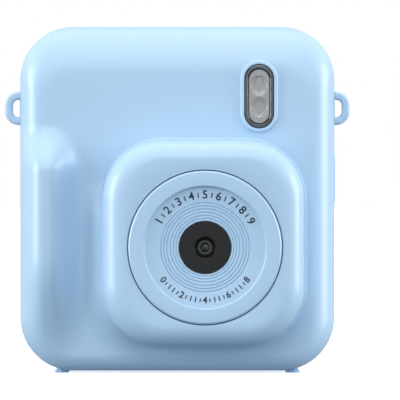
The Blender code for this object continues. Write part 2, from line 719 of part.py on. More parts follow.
for name, x, z, radius in KEYS:
    pierce("key_hole", radius + GAP, (x, BACK_FACE, z), "+Y")
pierce("sound_hole", SOUND_HOLE_RADIUS, (SPEAKER_X, BACK_FACE, SPEAKER_Z), "+Y", 8)
for k in range(6):
    angle = math.pi / 3 * k
    pierce("sound_hole", SOUND_HOLE_RADIUS, (SPEAKER_X + SOUND_HOLE_PITCH * math.cos(angle), BACK_FACE,
                                             SPEAKER_Z + SOUND_HOLE_PITCH * math.sin(angle)), "+Y", 8)
pierce("mic_hole", MIC_HOLE_RADIUS, (MIC_X, BACK_FACE, MIC_Z), "+Y", 8)
pierce("light_hole", LIGHT_RADIUS + GAP, (LIGHT_X, BACK_FACE, LIGHT_Z), "+Y", 12)

for x, radius, sphere, depth in ((SHUTTER_X, SHUTTER_RADIUS, *SHUTTER_DISH),
                                 (POWER_X, POWER_RADIUS, *POWER_DISH)):
    pierce("button_hole", radius + GAP, (x, TOP_BUTTON_Y, BODY_HIGH), "+Z")
    wide = 1.2 * math.acos(1.0 - depth / sphere)
    bowl = [(sphere * math.sin(wide * k / 4), sphere * (1.0 - math.cos(wide * k / 4)) - depth)
            for k in (4, 3, 2, 1)]
    dish = turned("button_dish", [(0, bowl[0][1])] + bowl + [(0, -depth)], (x, TOP_BUTTON_Y, BODY_HIGH),
                  "+Z", home=tools, steps=24)
    boolean(rear_shell, dish, "DIFFERENCE")

COVER_LOW = PORT_Z - COVER_LENGTH / 2
HINGE_Z = COVER_LOW + HINGE_RISE
seat = flat("cover_seat", outline(COVER_WIDTH + 2 * GAP, COVER_LENGTH + 4 * GAP, COVER_CORNER), THROUGH,
            (COVER_SEAT + THROUGH / 2, PORT_Y, PORT_Z), "side", home=tools)
boolean(rear_shell, seat, "DIFFERENCE")
mouth = flat("port_mouth", outline(PORT_MOUTH[1], PORT_MOUTH[0], MOUTH_CORNER), 2 * THROUGH,
             (COVER_SEAT, PORT_Y, PORT_Z), "side", home=tools)
boolean(rear_shell, mouth, "DIFFERENCE")
TETHER_Z = HINGE_Z - TETHER_DROP
pierce("tether_hole", TETHER_RADIUS + 0.25, (COVER_SEAT, PORT_Y, TETHER_Z), "+X", 10)
slot = Vector((HALF_WIDTH, CARD_Y, CARD_Z))
half = Vector((WALL + BEYOND, CARD[1] / 2 + SLOT_PLAY, CARD[2] / 2 + SLOT_PLAY))
boolean(rear_shell, block("card_slot", slot - half, slot + half, home=tools), "DIFFERENCE")
for x in (-FOOT_X, FOOT_X):
    foot_socket(rear_shell, x, FOOT_BACK_Y)

# ---- lens: ring, black plate, barrel with its front glass, sensor holder and board ----
def dish_y(radius):
    """Height of the sunk floor of the ring, sloping gently in towards the plate."""
    share = (DISH_RADIUS - radius) / (DISH_RADIUS - COVER_RADIUS - GAP)
    return DISH_OUTER_Y + (DISH_INNER_Y - DISH_OUTER_Y) * share


floor = []
for radius in reversed(GROOVE_RADII):
    floor += [(radius - GROOVE_HALF, -dish_y(radius)), (radius, -dish_y(radius) - GROOVE_DEPTH),
              (radius + GROOVE_HALF, -dish_y(radius))]
LENS_AXIS = (LENS_X, 0, LENS_Z)
BORE = BARREL_RADIUS + GAP
COVER_FRONT = DISH_INNER_Y + COVER_SINK
COVER_SEAT_Y = COVER_FRONT + COVER_THICK + GAP
COLLAR_BACK = FLOOR_INSIDE + COLLAR_PAST
ring_profile = [(COVER_RADIUS + GAP, -DISH_INNER_Y)] + floor
ring_profile += [(DISH_RADIUS, -DISH_OUTER_Y), (DISH_RADIUS + DISH_WALL_SLOPE, -RING_FRONT),
                 (RING_RADIUS - RING_EDGE, -RING_FRONT), (RING_RADIUS, -RING_FRONT - RING_EDGE),
                 (RING_RADIUS, -RING_BACK), (COLLAR_RADIUS, -RING_BACK), (COLLAR_RADIUS, -COLLAR_BACK),
                 (BORE + TUBE_WALL, -COLLAR_BACK), (BORE + TUBE_WALL, -TUBE_BACK), (BORE, -TUBE_BACK),
                 (BORE, -COVER_SEAT_Y), (COVER_RADIUS + GAP, -COVER_SEAT_Y)]
turned("lens_ring", ring_profile, LENS_AXIS, "-Y", material("lens_ring", BLUE, 0.35), closed=True, steps=40)
cover_back = COVER_FRONT + COVER_THICK
cover_profile = [(COVER_MOUTH, -COVER_FRONT), (COVER_RADIUS - COVER_EDGE, -COVER_FRONT),
                 (COVER_RADIUS, -COVER_FRONT - COVER_EDGE), (COVER_RADIUS, -cover_back),
                 (COVER_THROAT, -cover_back)]
turned("lens_cover", cover_profile, LENS_AXIS, "-Y", material("lens_cover", BLACK, 0.12), closed=True,
       steps=32)
shoulder = COVER_SEAT_Y + SHOULDER_GAP
nose_front = COVER_FRONT + NOSE_SINK
glass_bore = GLASS_RADIUS + GLASS_PLAY
barrel_profile = [(glass_bore, -nose_front), (NOSE_RADIUS, -nose_front), (NOSE_RADIUS, -shoulder),
                  (BARREL_RADIUS, -shoulder), (BARREL_RADIUS, -BARREL_BACK), (glass_bore, -BARREL_BACK)]
turned("lens_barrel", barrel_profile, LENS_AXIS, "-Y", material("lens_barrel", BLACK, 0.45), closed=True,
       steps=24)
glass_front = nose_front + GLASS_SINK
dome = [(GLASS_RADIUS * share, -glass_front - GLASS_DOME * share ** 2) for share in (0.0, 0.38, 0.72, 1.0)]
turned("lens_element", dome + [(GLASS_RADIUS, -glass_front - GLASS_THICK), (0, -glass_front - GLASS_THICK)],
       LENS_AXIS, "-Y", material("lens_element", (0.55, 0.75, 0.62), 0.03, 0.0, 0.4))
holder_front = TUBE_BACK + GAP
holder = block("sensor_holder", (LENS_X - HOLDER_HALF, holder_front, LENS_Z - HOLDER_HALF),
               (LENS_X + HOLDER_HALF, SENSOR_BOARD_FRONT - GAP, LENS_Z + HOLDER_HALF),
               material("sensor_holder", BLACK, 0.6))
holder_bore = rod("holder_bore", BORE, (LENS_X, holder_front, LENS_Z), "-Y", -HOLDER_BORE_DEPTH, BEYOND, 24)
boolean(holder, holder_bore, "DIFFERENCE")
block("sensor_board", (LENS_X - SENSOR_BOARD_HALF, SENSOR_BOARD_FRONT, LENS_Z - SENSOR_BOARD_HALF),
      (LENS_X + SENSOR_BOARD_HALF, SENSOR_BOARD_FRONT + SMALL_BOARD, LENS_Z + SENSOR_BOARD_HALF),
      material("sensor_board", BOARD_GREEN, 0.5))


def ribbon(name, path, thick, middle_x, width, surface):
    """A flat flexible lead: a path of (y, z) points given a thickness and a width along X."""
    upper = []
    lower = []
    last = len(path) - 1
    for k, (y, z) in enumerate(path):
        ahead = Vector(path[min(k + 1, last)]) - Vector((y, z))
        behind = Vector((y, z)) - Vector(path[max(k - 1, 0)])
        first = (ahead if behind.length == 0 else behind).normalized()
        second = (behind if ahead.length == 0 else ahead).normalized()
        across = (Vector((-first.y, first.x)) + Vector((-second.y, second.x))).normalized()
        across *= thick / 2 / max(0.5, across.dot(Vector((-first.y, first.x))))
        upper.append((y + across.x, z + across.y))
        lower.append((y - across.x, z - across.y))
    return flat(name, upper + list(reversed(lower)), width, (middle_x, 0, 0), "side", surface)


FLEX = (0.75, 0.42, 0.12)
RIBBON = 0.2
flex_front = SENSOR_BOARD_FRONT + SMALL_BOARD + GAP + RIBBON / 2
flex_back = BOARD_FRONT - GAP - RIBBON / 2
ribbon("sensor_flex", [(flex_front, LENS_Z - 3), (flex_front, LENS_Z + 9), (flex_front + 1.5, LENS_Z + 11.5),
                       (flex_front + 4.5, LENS_Z + 12.5), (flex_back - 4.5, LENS_Z + 12.5),
                       (flex_back - 1.5, LENS_Z + 13.5), (flex_back, LENS_Z + 15.5),
                       (flex_back, LENS_Z + 18)],
       RIBBON, LENS_X, 8.0, material("sensor_flex", FLEX, 0.45))

# ---- flash: trim, diffusing window, light source on its own board, lead ----
SLEEVE_BACK = FRONT_FACE + WALL + FLASH_SLEEVE
trim_hole = outline(FLASH_WINDOW[0] + 2 * GAP, FLASH_WINDOW[1] + 2 * GAP, FULL_ROUND, 8)
flat("flash_trim", outline(*FLASH_TRIM, FULL_ROUND, 8), SLEEVE_BACK - FLASH_TRIM_FRONT,
     (FLASH_X, (SLEEVE_BACK + FLASH_TRIM_FRONT) / 2, FLASH_Z),
     surface=material("flash_trim", (0.06, 0.065, 0.07), 0.25, 0.8), holes=(trim_hole,))
window = flat("flash_window", outline(*FLASH_WINDOW, FULL_ROUND, 8), FLASH_WINDOW_BACK - FLASH_WINDOW_FRONT,
              (FLASH_X, (FLASH_WINDOW_BACK + FLASH_WINDOW_FRONT) / 2, FLASH_Z),
              surface=material("flash_window", (0.62, 0.63, 0.65), 0.3, 0.7))
sphere = (FLASH_DIMPLE ** 2 + FLASH_DIMPLE_DEPTH ** 2) / (2 * FLASH_DIMPLE_DEPTH)
wide = 1.2 * math.asin(FLASH_DIMPLE / sphere)
bowl = [(sphere * math.sin(wide * k / 4), sphere * (1.0 - math.cos(wide * k / 4)) - FLASH_DIMPLE_DEPTH)
        for k in (4, 3, 2, 1)]
for side in (-1, 1):
    dimple = turned("dimple", [(0, bowl[0][1])] + bowl + [(0, -FLASH_DIMPLE_DEPTH)],
                    (FLASH_X, FLASH_WINDOW_FRONT, FLASH_Z + side * FLASH_LOBE), "-Y", home=tools, steps=20)
    boolean(window, dimple, "DIFFERENCE")
block("flash_board", (FLASH_X - FLASH_BOARD_HALF, FLASH_BOARD_FRONT, FLASH_Z - FLASH_BOARD_BELOW),
      (FLASH_X + FLASH_BOARD_HALF, FLASH_BOARD_FRONT + BOARD_THICK, FLASH_Z + FLASH_BOARD_ABOVE),
      material("flash_board", BOARD_GREEN, 0.5))
chip_seat = FLASH_BOARD_FRONT - GAP
half = FLASH_CHIP / 2
block("flash_light", (FLASH_X - half, chip_seat - FLASH_CHIP_HIGH, FLASH_Z - half),
      (FLASH_X + half, chip_seat, FLASH_Z + half), material("flash_light", (0.9, 0.85, 0.45), 0.3))
lead_front = FLASH_BOARD_FRONT + BOARD_THICK + GAP + RIBBON / 2
ribbon("flash_flex", [(lead_front, FLASH_Z + 3), (lead_front, FLASH_Z - 1), (lead_front + 1.5, FLASH_Z - 2.8),
                      (lead_front + 4, FLASH_Z - 3.4), (flex_back - 4, FLASH_Z - 3.4),
                      (flex_back - 1.5, FLASH_Z - 4), (flex_back, FLASH_Z - 6), (flex_back, FLASH_Z - 9)],
       RIBBON, FLASH_X + 6, 5.0, material("flash_flex", FLEX, 0.45))

# ---- strap lugs: flat D-shaped loops whose roots pass through slots in the front shell ----


def d_loop(inner, outer, low, high, radius, steps):
    """A D: straight edge at the inner end, rounded corners at the outer one."""
    loop = [(inner, high), (inner, low)]
    for centre_z, start in ((low + radius, -90.0), (high - radius, 0.0)):
        for k in range(steps + 1):
            angle = math.radians(start + 90.0 * k / steps)
            loop.append((outer - radius + radius * math.cos(angle), centre_z + radius * math.sin(angle)))
    return loop


root = HALF_WIDTH - LUG_ROOT
flange_middle = HALF_WIDTH - WALL - GAP - LUG_FLANGE / 2
for name, side in (("strap_lug_left", -1), ("strap_lug_right", 1)):
    loop = d_loop(root, LUG_OUT, LUG_LOW, LUG_HIGH, LUG_CORNER, 6)
    eye = d_loop(HALF_WIDTH + LUG_EYE_OFF, LUG_OUT - LUG_BAND, LUG_LOW + LUG_BAND, LUG_HIGH - LUG_BAND,
                 LUG_EYE_CORNER, 4)
    if side < 0:
        loop = [(-x, z) for x, z in reversed(loop)]
        eye = [(-x, z) for x, z in reversed(eye)]
    lug = flat(name, loop, LUG_THICK, (0, LUG_Y, 0), surface=material(name, BLUE, 0.4), holes=(eye,))
    middle = Vector((side * flange_middle, LUG_Y, LUG_MIDDLE))
    half = Vector((LUG_FLANGE / 2, LUG_THICK / 2 + LUG_LIP, (LUG_HIGH - LUG_LOW) / 2 + LUG_LIP))
    boolean(lug, block("lug_flange", middle - half, middle + half, home=tools), "UNION")

# ---- feet: four small push-in pads, flat underneath ----
foot_profile = [(0, FOOT_STEM_TOP), (FOOT_STEM_RADIUS, FOOT_STEM_TOP), (FOOT_STEM_RADIUS, FOOT_PAD),
                (FOOT_RADIUS, FOOT_PAD), (FOOT_RADIUS, FOOT_EDGE), (FOOT_RADIUS - FOOT_EDGE, 0.0), (0, 0.0)]
for name, x, y in (("foot_front_left", -FOOT_X, FOOT_FRONT_Y), ("foot_front_right", FOOT_X, FOOT_FRONT_Y),
                   ("foot_back_left", -FOOT_X, FOOT_BACK_Y), ("foot_back_right", FOOT_X, FOOT_BACK_Y)):
    turned(name, foot_profile, (x, y, 0), "+Z", material(name, BLUE, 0.6))

# ---- top: shutter and power buttons over their switches ----
FLANGE_TOP = BODY_HIGH - WALL - GAP
STEM_END = SWITCH_TOP + TOP_TRAVEL + GAP
for name, x, radius, crown in (("shutter_button", SHUTTER_X, SHUTTER_RADIUS, 0.15),
                               ("power_button", POWER_X, POWER_RADIUS, 0.1)):
    flange = radius + BUTTON_LIP
    shape = [(0, 0), (radius * 0.6, -crown * 0.5), (radius - 0.4, -crown * 1.2), (radius, -crown - 0.5)]
    shape += [(r, h - BUTTON_TOP) for r, h in (
        (radius, FLANGE_TOP), (flange, FLANGE_TOP), (flange, FLANGE_TOP - BUTTON_FLANGE),
        (BUTTON_STEM, FLANGE_TOP - BUTTON_FLANGE), (BUTTON_STEM, STEM_END), (0, STEM_END))]
    turned(name, shape, (x, TOP_BUTTON_Y, BUTTON_TOP), "+Z", material(name, KEY_WHITE, 0.35), steps=24)
for name, x in (("shutter_switch", SHUTTER_X), ("power_switch", POWER_X)):
    half = SWITCH_SIZE / 2
    base = block(name, (x - half, TOP_BUTTON_Y - half, TOP_BOARD_TOP + GAP),
                 (x + half, TOP_BUTTON_Y + half, SWITCH_TOP - SWITCH_PLUNGER), material(name, BLACK, 0.5))
    plunger = rod("plunger", SWITCH_PLUNGER_RADIUS, (x, TOP_BUTTON_Y, SWITCH_TOP), "+Z",
                  -2 * SWITCH_PLUNGER, 0, 12)
    boolean(base, plunger, "UNION")
block("top_switch_board",
      (SHUTTER_X - TOP_BOARD_SIDE, TOP_BUTTON_Y - TOP_BOARD_HALF, TOP_BOARD_TOP - SMALL_BOARD),
      (POWER_X + TOP_BOARD_PAST, TOP_BUTTON_Y + TOP_BOARD_HALF, TOP_BOARD_TOP),
      material("top_switch_board", BOARD_GREEN, 0.5))
under = TOP_BOARD_TOP - SMALL_BOARD - GAP - RIBBON / 2
ribbon("switch_flex", [(TOP_BUTTON_Y - 3.6, under), (TOP_BUTTON_Y - 0.2, under),
                       (flex_back - 0.7, under - 0.8), (flex_back, under - 2.6), (flex_back, under - 12.4)],
       RIBBON, POWER_X, 4.0, material("switch_flex", FLEX, 0.45))

# ---- screen: clear window, display panel and the tray that holds it ----
flat("screen_window", outline(*SCREEN_WINDOW, WINDOW_CORNER), WINDOW_THICK,
     (0, WINDOW_SEAT + GAP / 2 + WINDOW_THICK / 2, SCREEN_Z),
     surface=material("screen_window", (0.02, 0.02, 0.025), 0.05, 0.0, 0.5))
PANEL_BACK = INNER_BACK - GAP
PANEL_FRONT = PANEL_BACK - PANEL[2]
block("display_panel", (-PANEL[0] / 2, PANEL_FRONT, SCREEN_Z - PANEL[1] / 2),
      (PANEL[0] / 2, PANEL_BACK, SCREEN_Z + PANEL[1] / 2), material("display_panel", (0.03, 0.04, 0.06), 0.1))
tray_x = PANEL[0] / 2 + GAP + TRAY_WALL
tray_z = PANEL[1] / 2 + GAP + TRAY_WALL
tray = block("display_tray", (-tray_x, BOARD_BACK + GAP, SCREEN_Z - tray_z),
             (tray_x, PANEL_BACK, SCREEN_Z + tray_z), material("display_tray", (0.75, 0.76, 0.78), 0.4))
pocket_x = PANEL[0] / 2 + GAP
pocket_z = PANEL[1] / 2 + GAP
tray_pocket = block("tray_pocket", (-pocket_x, PANEL_FRONT - GAP, SCREEN_Z - pocket_z),
                    (pocket_x, PANEL_BACK + BEYOND, SCREEN_Z + pocket_z), home=tools)
boolean(tray, tray_pocket, "DIFFERENCE")

# ---- keys on the back: round caps held behind the wall, over a rubber mat with domes ----
MAT_FRONT = BOARD_BACK + GAP
MAT_BACK = MAT_FRONT + MAT_THICK
DOME_TOP = MAT_BACK + DOME_RISE
KEY_END = DOME_TOP + KEY_TRAVEL + GAP
LIP_BACK = INNER_BACK - GAP
LIP_FRONT = LIP_BACK - KEY_LIP_THICK
for name, x, z, radius in KEYS:
    shape = [(0, 0), (radius * 0.6, -0.08), (radius - 0.3, -0.25), (radius, -0.6)]
    shape += [(r, h - KEY_TOP) for r, h in (
        (radius, LIP_BACK), (radius + KEY_LIP, LIP_BACK), (radius + KEY_LIP, LIP_FRONT),
        (KEY_STEM, LIP_FRONT), (KEY_STEM, KEY_END), (0, KEY_END))]
    turned(name, shape, (x, KEY_TOP, z), "+Y", material(name, KEY_WHITE, 0.4))
pad_reach = KEY_PITCH + KEY_RADIUS + MAT_MARGIN
mat = block("key_mat", (KEY_PAD_X - pad_reach, MAT_FRONT, KEY_PAD_Z - pad_reach),
            (KEY_PLAY_X + KEY_BIG_RADIUS + MAT_MARGIN, MAT_BACK, KEY_PAD_Z + pad_reach),
            material("key_mat", (0.5, 0.5, 0.52), 0.8))
dome_low = MAT_BACK - 0.2
dome_profile = [(0, DOME_TOP), (DOME_RADIUS * 0.6, DOME_TOP), (DOME_RADIUS, dome_low), (0, dome_low)]
for name, x, z, radius in KEYS:
    boolean(mat, turned("dome", dome_profile, (x, 0, z), "+Y", home=tools, steps=12), "UNION")

# ---- main board with its chips, battery, speaker, microphone and light ----
main_board = block("main_board", (BOARD[0], BOARD_FRONT, BOARD[2]), (BOARD[1], BOARD_BACK, BOARD[3]),
                   material("main_board", BOARD_GREEN, 0.5))
chip_back = BOARD_FRONT - GAP
head = BOARD_SCREW_HEAD
shank = BOARD_SCREW_SHANK
for k, (x, z) in enumerate(BOARD_SCREWS):
    hole = rod("board_hole", shank + GAP, (x, BOARD_FRONT, z), "+Y", -THROUGH, THROUGH, 12)
    boolean(main_board, hole, "DIFFERENCE")
    turned(f"board_screw_{k + 1}", [(0, 1.2), (head - 0.2, 1.2), (head, 0.9), (head, 0), (shank, 0),
                                    (shank, -BOARD_SCREW_LENGTH), (0, -BOARD_SCREW_LENGTH)],
           (x, chip_back, z), "-Y", material(f"board_screw_{k + 1}", STEEL, 0.35, 1.0))
tip = SCREW_LENGTH + 0.8
housing_screw = [(0, 1.6), (SCREW_HEAD - 0.4, 1.6), (SCREW_HEAD, 1.2), (SCREW_HEAD, 0), (SCREW_SHANK, 0),
                 (SCREW_SHANK, -SCREW_LENGTH), (0.4, -tip), (0, -tip)]
for side, where in ((-1, "left"), (1, "right")):
    for z, level in zip(HOUSING_SCREW_Z, ("low", "high")):
        name = f"housing_screw_{level}_{where}"
        turned(name, housing_screw, (side * HOUSING_SCREW_X, HEAD_SEAT + GAP, z), "+Y",
               material(name, STEEL, 0.35, 1.0))
for name, (left, low, size) in (("processor_chip", PROCESSOR), ("memory_chip", MEMORY)):
    block(name, (left, chip_back - CHIP_THICK, low), (left + size, chip_back, low + size),
          material(name, BLACK, 0.5))
battery_front = FRONT_FACE + WALL + GAP
block("battery", (BATTERY_X - BATTERY[0] / 2, battery_front, BATTERY_Z - BATTERY[2] / 2),
      (BATTERY_X + BATTERY[0] / 2, battery_front + BATTERY[1], BATTERY_Z + BATTERY[2] / 2),
      material("battery", (0.75, 0.76, 0.78), 0.35, 0.6), bevel=1.2)
plug_front = chip_back - PLUG[1]
block("battery_plug", (PLUG_X - PLUG[0] / 2, plug_front, PLUG_Z - PLUG[2] / 2),
      (PLUG_X + PLUG[0] / 2, chip_back, PLUG_Z + PLUG[2] / 2),
      material("battery_plug", (0.9, 0.88, 0.8), 0.5))
battery_high = BATTERY_Z + BATTERY[2] / 2
for name, shift, colour in (("battery_wire_red", -WIRE_APART / 2, (0.6, 0.03, 0.03)),
                            ("battery_wire_black", WIRE_APART / 2, (0.02, 0.02, 0.02))):
    curve = bpy.data.curves.new(name, "CURVE")
    curve.dimensions = "3D"
    curve.bevel_depth = WIRE_RADIUS * MM
    curve.bevel_resolution = 1
    curve.resolution_u = 5
    curve.use_fill_caps = True
    spline = curve.splines.new("BEZIER")
    # each knot: its place, then the direction and length of its handles
    knots = ((PLUG_X + shift, battery_front + BATTERY[1] / 2, battery_high + GAP, 0, 0, 4),
             (PLUG_X + shift, 4.0, PLUG_Z + 2.0, 0, 4, 1),
             (PLUG_X + shift, plug_front - GAP, PLUG_Z, 0, 2, 0))
    spline.bezier_points.add(len(knots) - 1)
    for point, (x, y, z, hx, hy, hz) in zip(spline.bezier_points, knots):
        point.co = Vector((x, y, z)) * MM
        point.handle_left = Vector((x - hx, y - hy, z - hz)) * MM
        point.handle_right = Vector((x + hx, y + hy, z + hz)) * MM
    from_curve(name, curve, (0, 0, 0), "world", material(name, colour, 0.5))
block("speaker", (SPEAKER_X - SPEAKER[0] / 2, LIP_BACK - SPEAKER[1], SPEAKER_Z - SPEAKER[2] / 2),
      (SPEAKER_X + SPEAKER[0] / 2, LIP_BACK, SPEAKER_Z + SPEAKER[2] / 2), material("speaker", BLACK, 0.6),
      bevel=0.8)
turned("microphone", [(0, MIC_HIGH), (MIC_RADIUS, MIC_HIGH), (MIC_RADIUS, 0), (0, 0)],
       (MIC_X, BOARD_BACK + GAP, MIC_Z), "+Y", material("microphone", STEEL, 0.4, 0.9))
light_profile = [(0, LIGHT_TOP), (LIGHT_RADIUS - 0.4, LIGHT_TOP), (LIGHT_RADIUS, LIGHT_TOP - 0.2),
                 (LIGHT_RADIUS, LIP_BACK), (LIGHT_RADIUS + KEY_LIP, LIP_BACK),
                 (LIGHT_RADIUS + KEY_LIP, LIP_FRONT), (LIGHT_RADIUS, LIP_FRONT),
                 (LIGHT_RADIUS, BOARD_BACK + GAP), (0, BOARD_BACK + GAP)]
turned("status_light", light_profile, (LIGHT_X, 0, LIGHT_Z), "+Y",
       material("status_light", (0.7, 0.85, 0.75), 0.15, 0.0, 0.6))

# ---- right side: charging port behind its cover, memory card in its socket ----
INNER_SIDE = HALF_WIDTH - WALL
PORT_OUT = INNER_SIDE - GAP - 0.1
port = flat("usb_port", outline(PORT_SHELL[1], PORT_SHELL[0], FULL_ROUND), PORT_LENGTH,
            (PORT_OUT - PORT_LENGTH / 2, PORT_Y, PORT_Z), "side",
            surface=material("usb_port", STEEL, 0.3, 1.0))
mouth_size = [size - 2 * PORT_SHEET for size in PORT_SHELL]
inside = flat("port_inside", outline(mouth_size[1], mouth_size[0], FULL_ROUND), PORT_LENGTH,
              (PORT_OUT - PORT_LENGTH / 2 + PORT_FLOOR, PORT_Y, PORT_Z), "side", home=tools)
middle = Vector((PORT_OUT - PORT_LENGTH / 2 - PORT_TONGUE_SINK, PORT_Y, PORT_Z))
half = Vector((PORT_LENGTH / 2, PORT_TONGUE[1] / 2, PORT_TONGUE[0] / 2))
boolean(inside, block("port_tongue", middle - half, middle + half, home=tools), "DIFFERENCE")
boolean(port, inside, "DIFFERENCE")
rise = COVER_LENGTH / 2 - HINGE_RISE
cover_outline = [(u, v + rise) for u, v in outline(COVER_WIDTH, COVER_LENGTH, COVER_CORNER)]
cover = flat("port_cover", cover_outline, COVER_SHEET, (HINGE_X, PORT_Y, HINGE_Z), "side",
             surface=material("port_cover", BLUE, 0.6))
plug = flat("cover_plug", outline(PORT_MOUTH[1] - 2 * GAP, PORT_MOUTH[0] - 3 * GAP, MOUTH_CORNER - GAP),
            COVER_PLUG, (COVER_OUT - COVER_PLUG, PORT_Y, PORT_Z), "side", home=tools)
boolean(cover, plug, "UNION")
tether_profile = [(0, 0), (TETHER_RADIUS, 0), (TETHER_RADIUS, -1.4), (TETHER_HEAD, -1.4),
                  (TETHER_HEAD, -2.3), (0, -2.3)]
turned("port_cover_tether", tether_profile, (COVER_SEAT, PORT_Y, TETHER_Z), "+X",
       material("port_cover_tether", BLUE, 0.6), steps=12)
card_in = CARD_OUT - CARD[0]
card_low = Vector((card_in, CARD_Y - CARD[1] / 2, CARD_Z - CARD[2] / 2))
card_high = Vector((CARD_OUT, CARD_Y + CARD[1] / 2, CARD_Z + CARD[2] / 2))
socket = block("card_socket", card_low - Vector((2.0, GAP + SOCKET_SHEET, 1.0)),
               (INNER_SIDE - 2 * GAP, chip_back, card_high.z + 1.0),
               material("card_socket", STEEL, 0.35, 1.0))
space = block("card_space", card_low - Vector((CARD_PUSH + SLOT_PLAY, GAP, GAP)),
              card_high + Vector((0.0, GAP, GAP)), home=tools)
boolean(socket, space, "DIFFERENCE")
block("memory_card", card_low, card_high, material("memory_card", BLACK, 0.5))

for piece in parts.objects:
    smooth(piece)
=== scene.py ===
import bpy
import math
import numpy as np
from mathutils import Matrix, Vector


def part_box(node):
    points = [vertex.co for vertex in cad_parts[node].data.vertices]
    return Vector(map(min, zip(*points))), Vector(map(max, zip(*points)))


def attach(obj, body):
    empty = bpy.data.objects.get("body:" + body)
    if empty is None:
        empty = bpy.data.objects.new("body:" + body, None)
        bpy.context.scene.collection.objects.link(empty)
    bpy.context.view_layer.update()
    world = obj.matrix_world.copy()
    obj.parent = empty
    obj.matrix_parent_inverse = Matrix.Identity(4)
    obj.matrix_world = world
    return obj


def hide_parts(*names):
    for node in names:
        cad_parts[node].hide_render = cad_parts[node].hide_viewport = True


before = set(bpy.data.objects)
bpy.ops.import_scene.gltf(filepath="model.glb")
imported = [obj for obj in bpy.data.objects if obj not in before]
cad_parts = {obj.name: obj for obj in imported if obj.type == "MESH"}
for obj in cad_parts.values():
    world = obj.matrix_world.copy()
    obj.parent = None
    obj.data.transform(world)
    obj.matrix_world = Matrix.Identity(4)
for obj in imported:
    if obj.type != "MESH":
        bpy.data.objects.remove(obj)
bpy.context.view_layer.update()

# ---- Front shell ----
# The front half of the body, with the grip bulge and the raised square lens housing in one moulding.
# Injection moulded ABS, 2 mm thick, from a finely eroded tool: a smooth satin skin with a soft gloss.
# Four screws hold it from the back; it carries the ring of the lens in a round seat and the flash in a
# rimmed hole.
MM = 0.001
half_width = 45.0
body_low = 0.6
body_high = 99.0
corner = 15.2
wall = 2.0
gap = 0.3
front_face = -8.8
parting = 5.0
edge_side = 7.0
edge_top = 14.0
edge_low = 5.0
edge_start_low = -3.8
grip_rise = 7.5
grip_crest = -36.5
grip_valley = -26.5
grip_full = 57.5
grip_end = 71.0
housing = (-21.9, 37.0, 6.9, 67.3)        # left, right, low, high
housing_corner = 18.0
housing_face = -23.6
housing_draft = 1.0
housing_edge = 5.7
housing_edge_left = 6.2
skirt_rise = 5.0
skirt_width = 6.5
lens_x = 7.94
lens_z = 35.9
seat_radius = 22.1
seat_floor = -20.3
flash_x = 23.4
flash_z = 79.0
flash_rim = (10.7, 20.5)
flash_rim_front = -9.7
flash_hole = (8.55, 18.4)
lug_low = 70.9
lug_high = 80.4


def linear(hex_colour):
    """An sRGB colour, written as six hex digits, as linear light with alpha."""
    out = []
    for k in (0, 2, 4):
        value = int(hex_colour[k:k + 2], 16) / 255
        out.append(value / 12.92 if value <= 0.04045 else ((value + 0.055) / 1.055) ** 2.4)
    return (out[0], out[1], out[2], 1.0)


def node(tree, kind, settings=None, links=None):
    """Adds one shader node, sets its fields and sockets, and links its inputs."""
    made = tree.nodes.new(kind)
    for key, value in (settings or {}).items():
        if isinstance(key, str) and hasattr(made, key):
            setattr(made, key, value)
        else:
            made.inputs[key].default_value = value
    for key, source in (links or {}).items():
        tree.links.new(source, made.inputs[key])
    return made


def finish_of(name, colours, spread, roughness, grain, depth, metallic=0.0, ior=1.5, coat=0.0,
              stretch=(1, 1, 1)):
    """A surface whose colour drifts between two tones over the spread, with a fine grain in gloss and relief.

    Lengths are in millimetres; stretch draws the grain out along an axis, as brushing or weaving does.
    """
    made = bpy.data.materials.new(name)
    made.use_nodes = True
    tree = made.node_tree
    shader = tree.nodes["Principled BSDF"]
    shader.inputs["Metallic"].default_value = metallic
    if not metallic:
        shader.inputs["IOR"].default_value = ior
    shader.inputs["Coat Weight"].default_value = coat
    shader.inputs["Coat Roughness"].default_value = 0.08
    place = node(tree, "ShaderNodeTexCoord").outputs["Object"]
    clouds = node(tree, "ShaderNodeTexNoise", {"Scale": 1 / (spread * MM), "Detail": 2.0}, {"Vector": place})
    tone = node(tree, "ShaderNodeMix", {"data_type": "RGBA", 6: linear(colours[0]), 7: linear(colours[1])},
                {0: clouds.outputs["Fac"]})
    tree.links.new(tone.outputs[2], shader.inputs["Base Color"])
    drawn = node(tree, "ShaderNodeMapping", {"Scale": stretch}, {"Vector": place})
    fine = node(tree, "ShaderNodeTexNoise", {"Scale": 1 / (grain * MM), "Detail": 3.0, "Roughness": 0.6},
                {"Vector": drawn.outputs[0]})
    gloss = node(tree, "ShaderNodeMapRange", {"To Min": roughness * 0.85, "To Max": roughness * 1.15},
                 {"Value": fine.outputs["Fac"]})
    tree.links.new(gloss.outputs["Result"], shader.inputs["Roughness"])
    relief = node(tree, "ShaderNodeBump", {"Strength": 0.35, "Distance": depth * MM},
                  {"Height": fine.outputs["Fac"]})
    tree.links.new(relief.outputs["Normal"], shader.inputs["Normal"])
    return made


# satin baby-blue ABS: the eroded grain of about 0.25 mm breaks the reflections into a soft sheen
satin_blue_abs = finish_of("satin_blue_abs", ("B3D2EC", "AFCFEA"), 22, 0.31, 0.25, 0.012, ior=1.53)


def add_mesh(name, body, surface, angle=32.0):
    """A mesh object from (points in millimetres, faces), shaded smooth except over real edges."""
    points, faces = body
    mesh = bpy.data.meshes.new(name)
    mesh.from_pydata([tuple(p) for p in np.asarray(points, dtype=float) * MM], [], faces)
    mesh.update()
    made = bpy.data.objects.new(name, mesh)
    bpy.context.scene.collection.objects.link(made)
    made.data.materials.append(surface)
    made.data.shade_smooth()
    made.data.set_sharp_from_angle(angle=math.radians(angle))
    return made


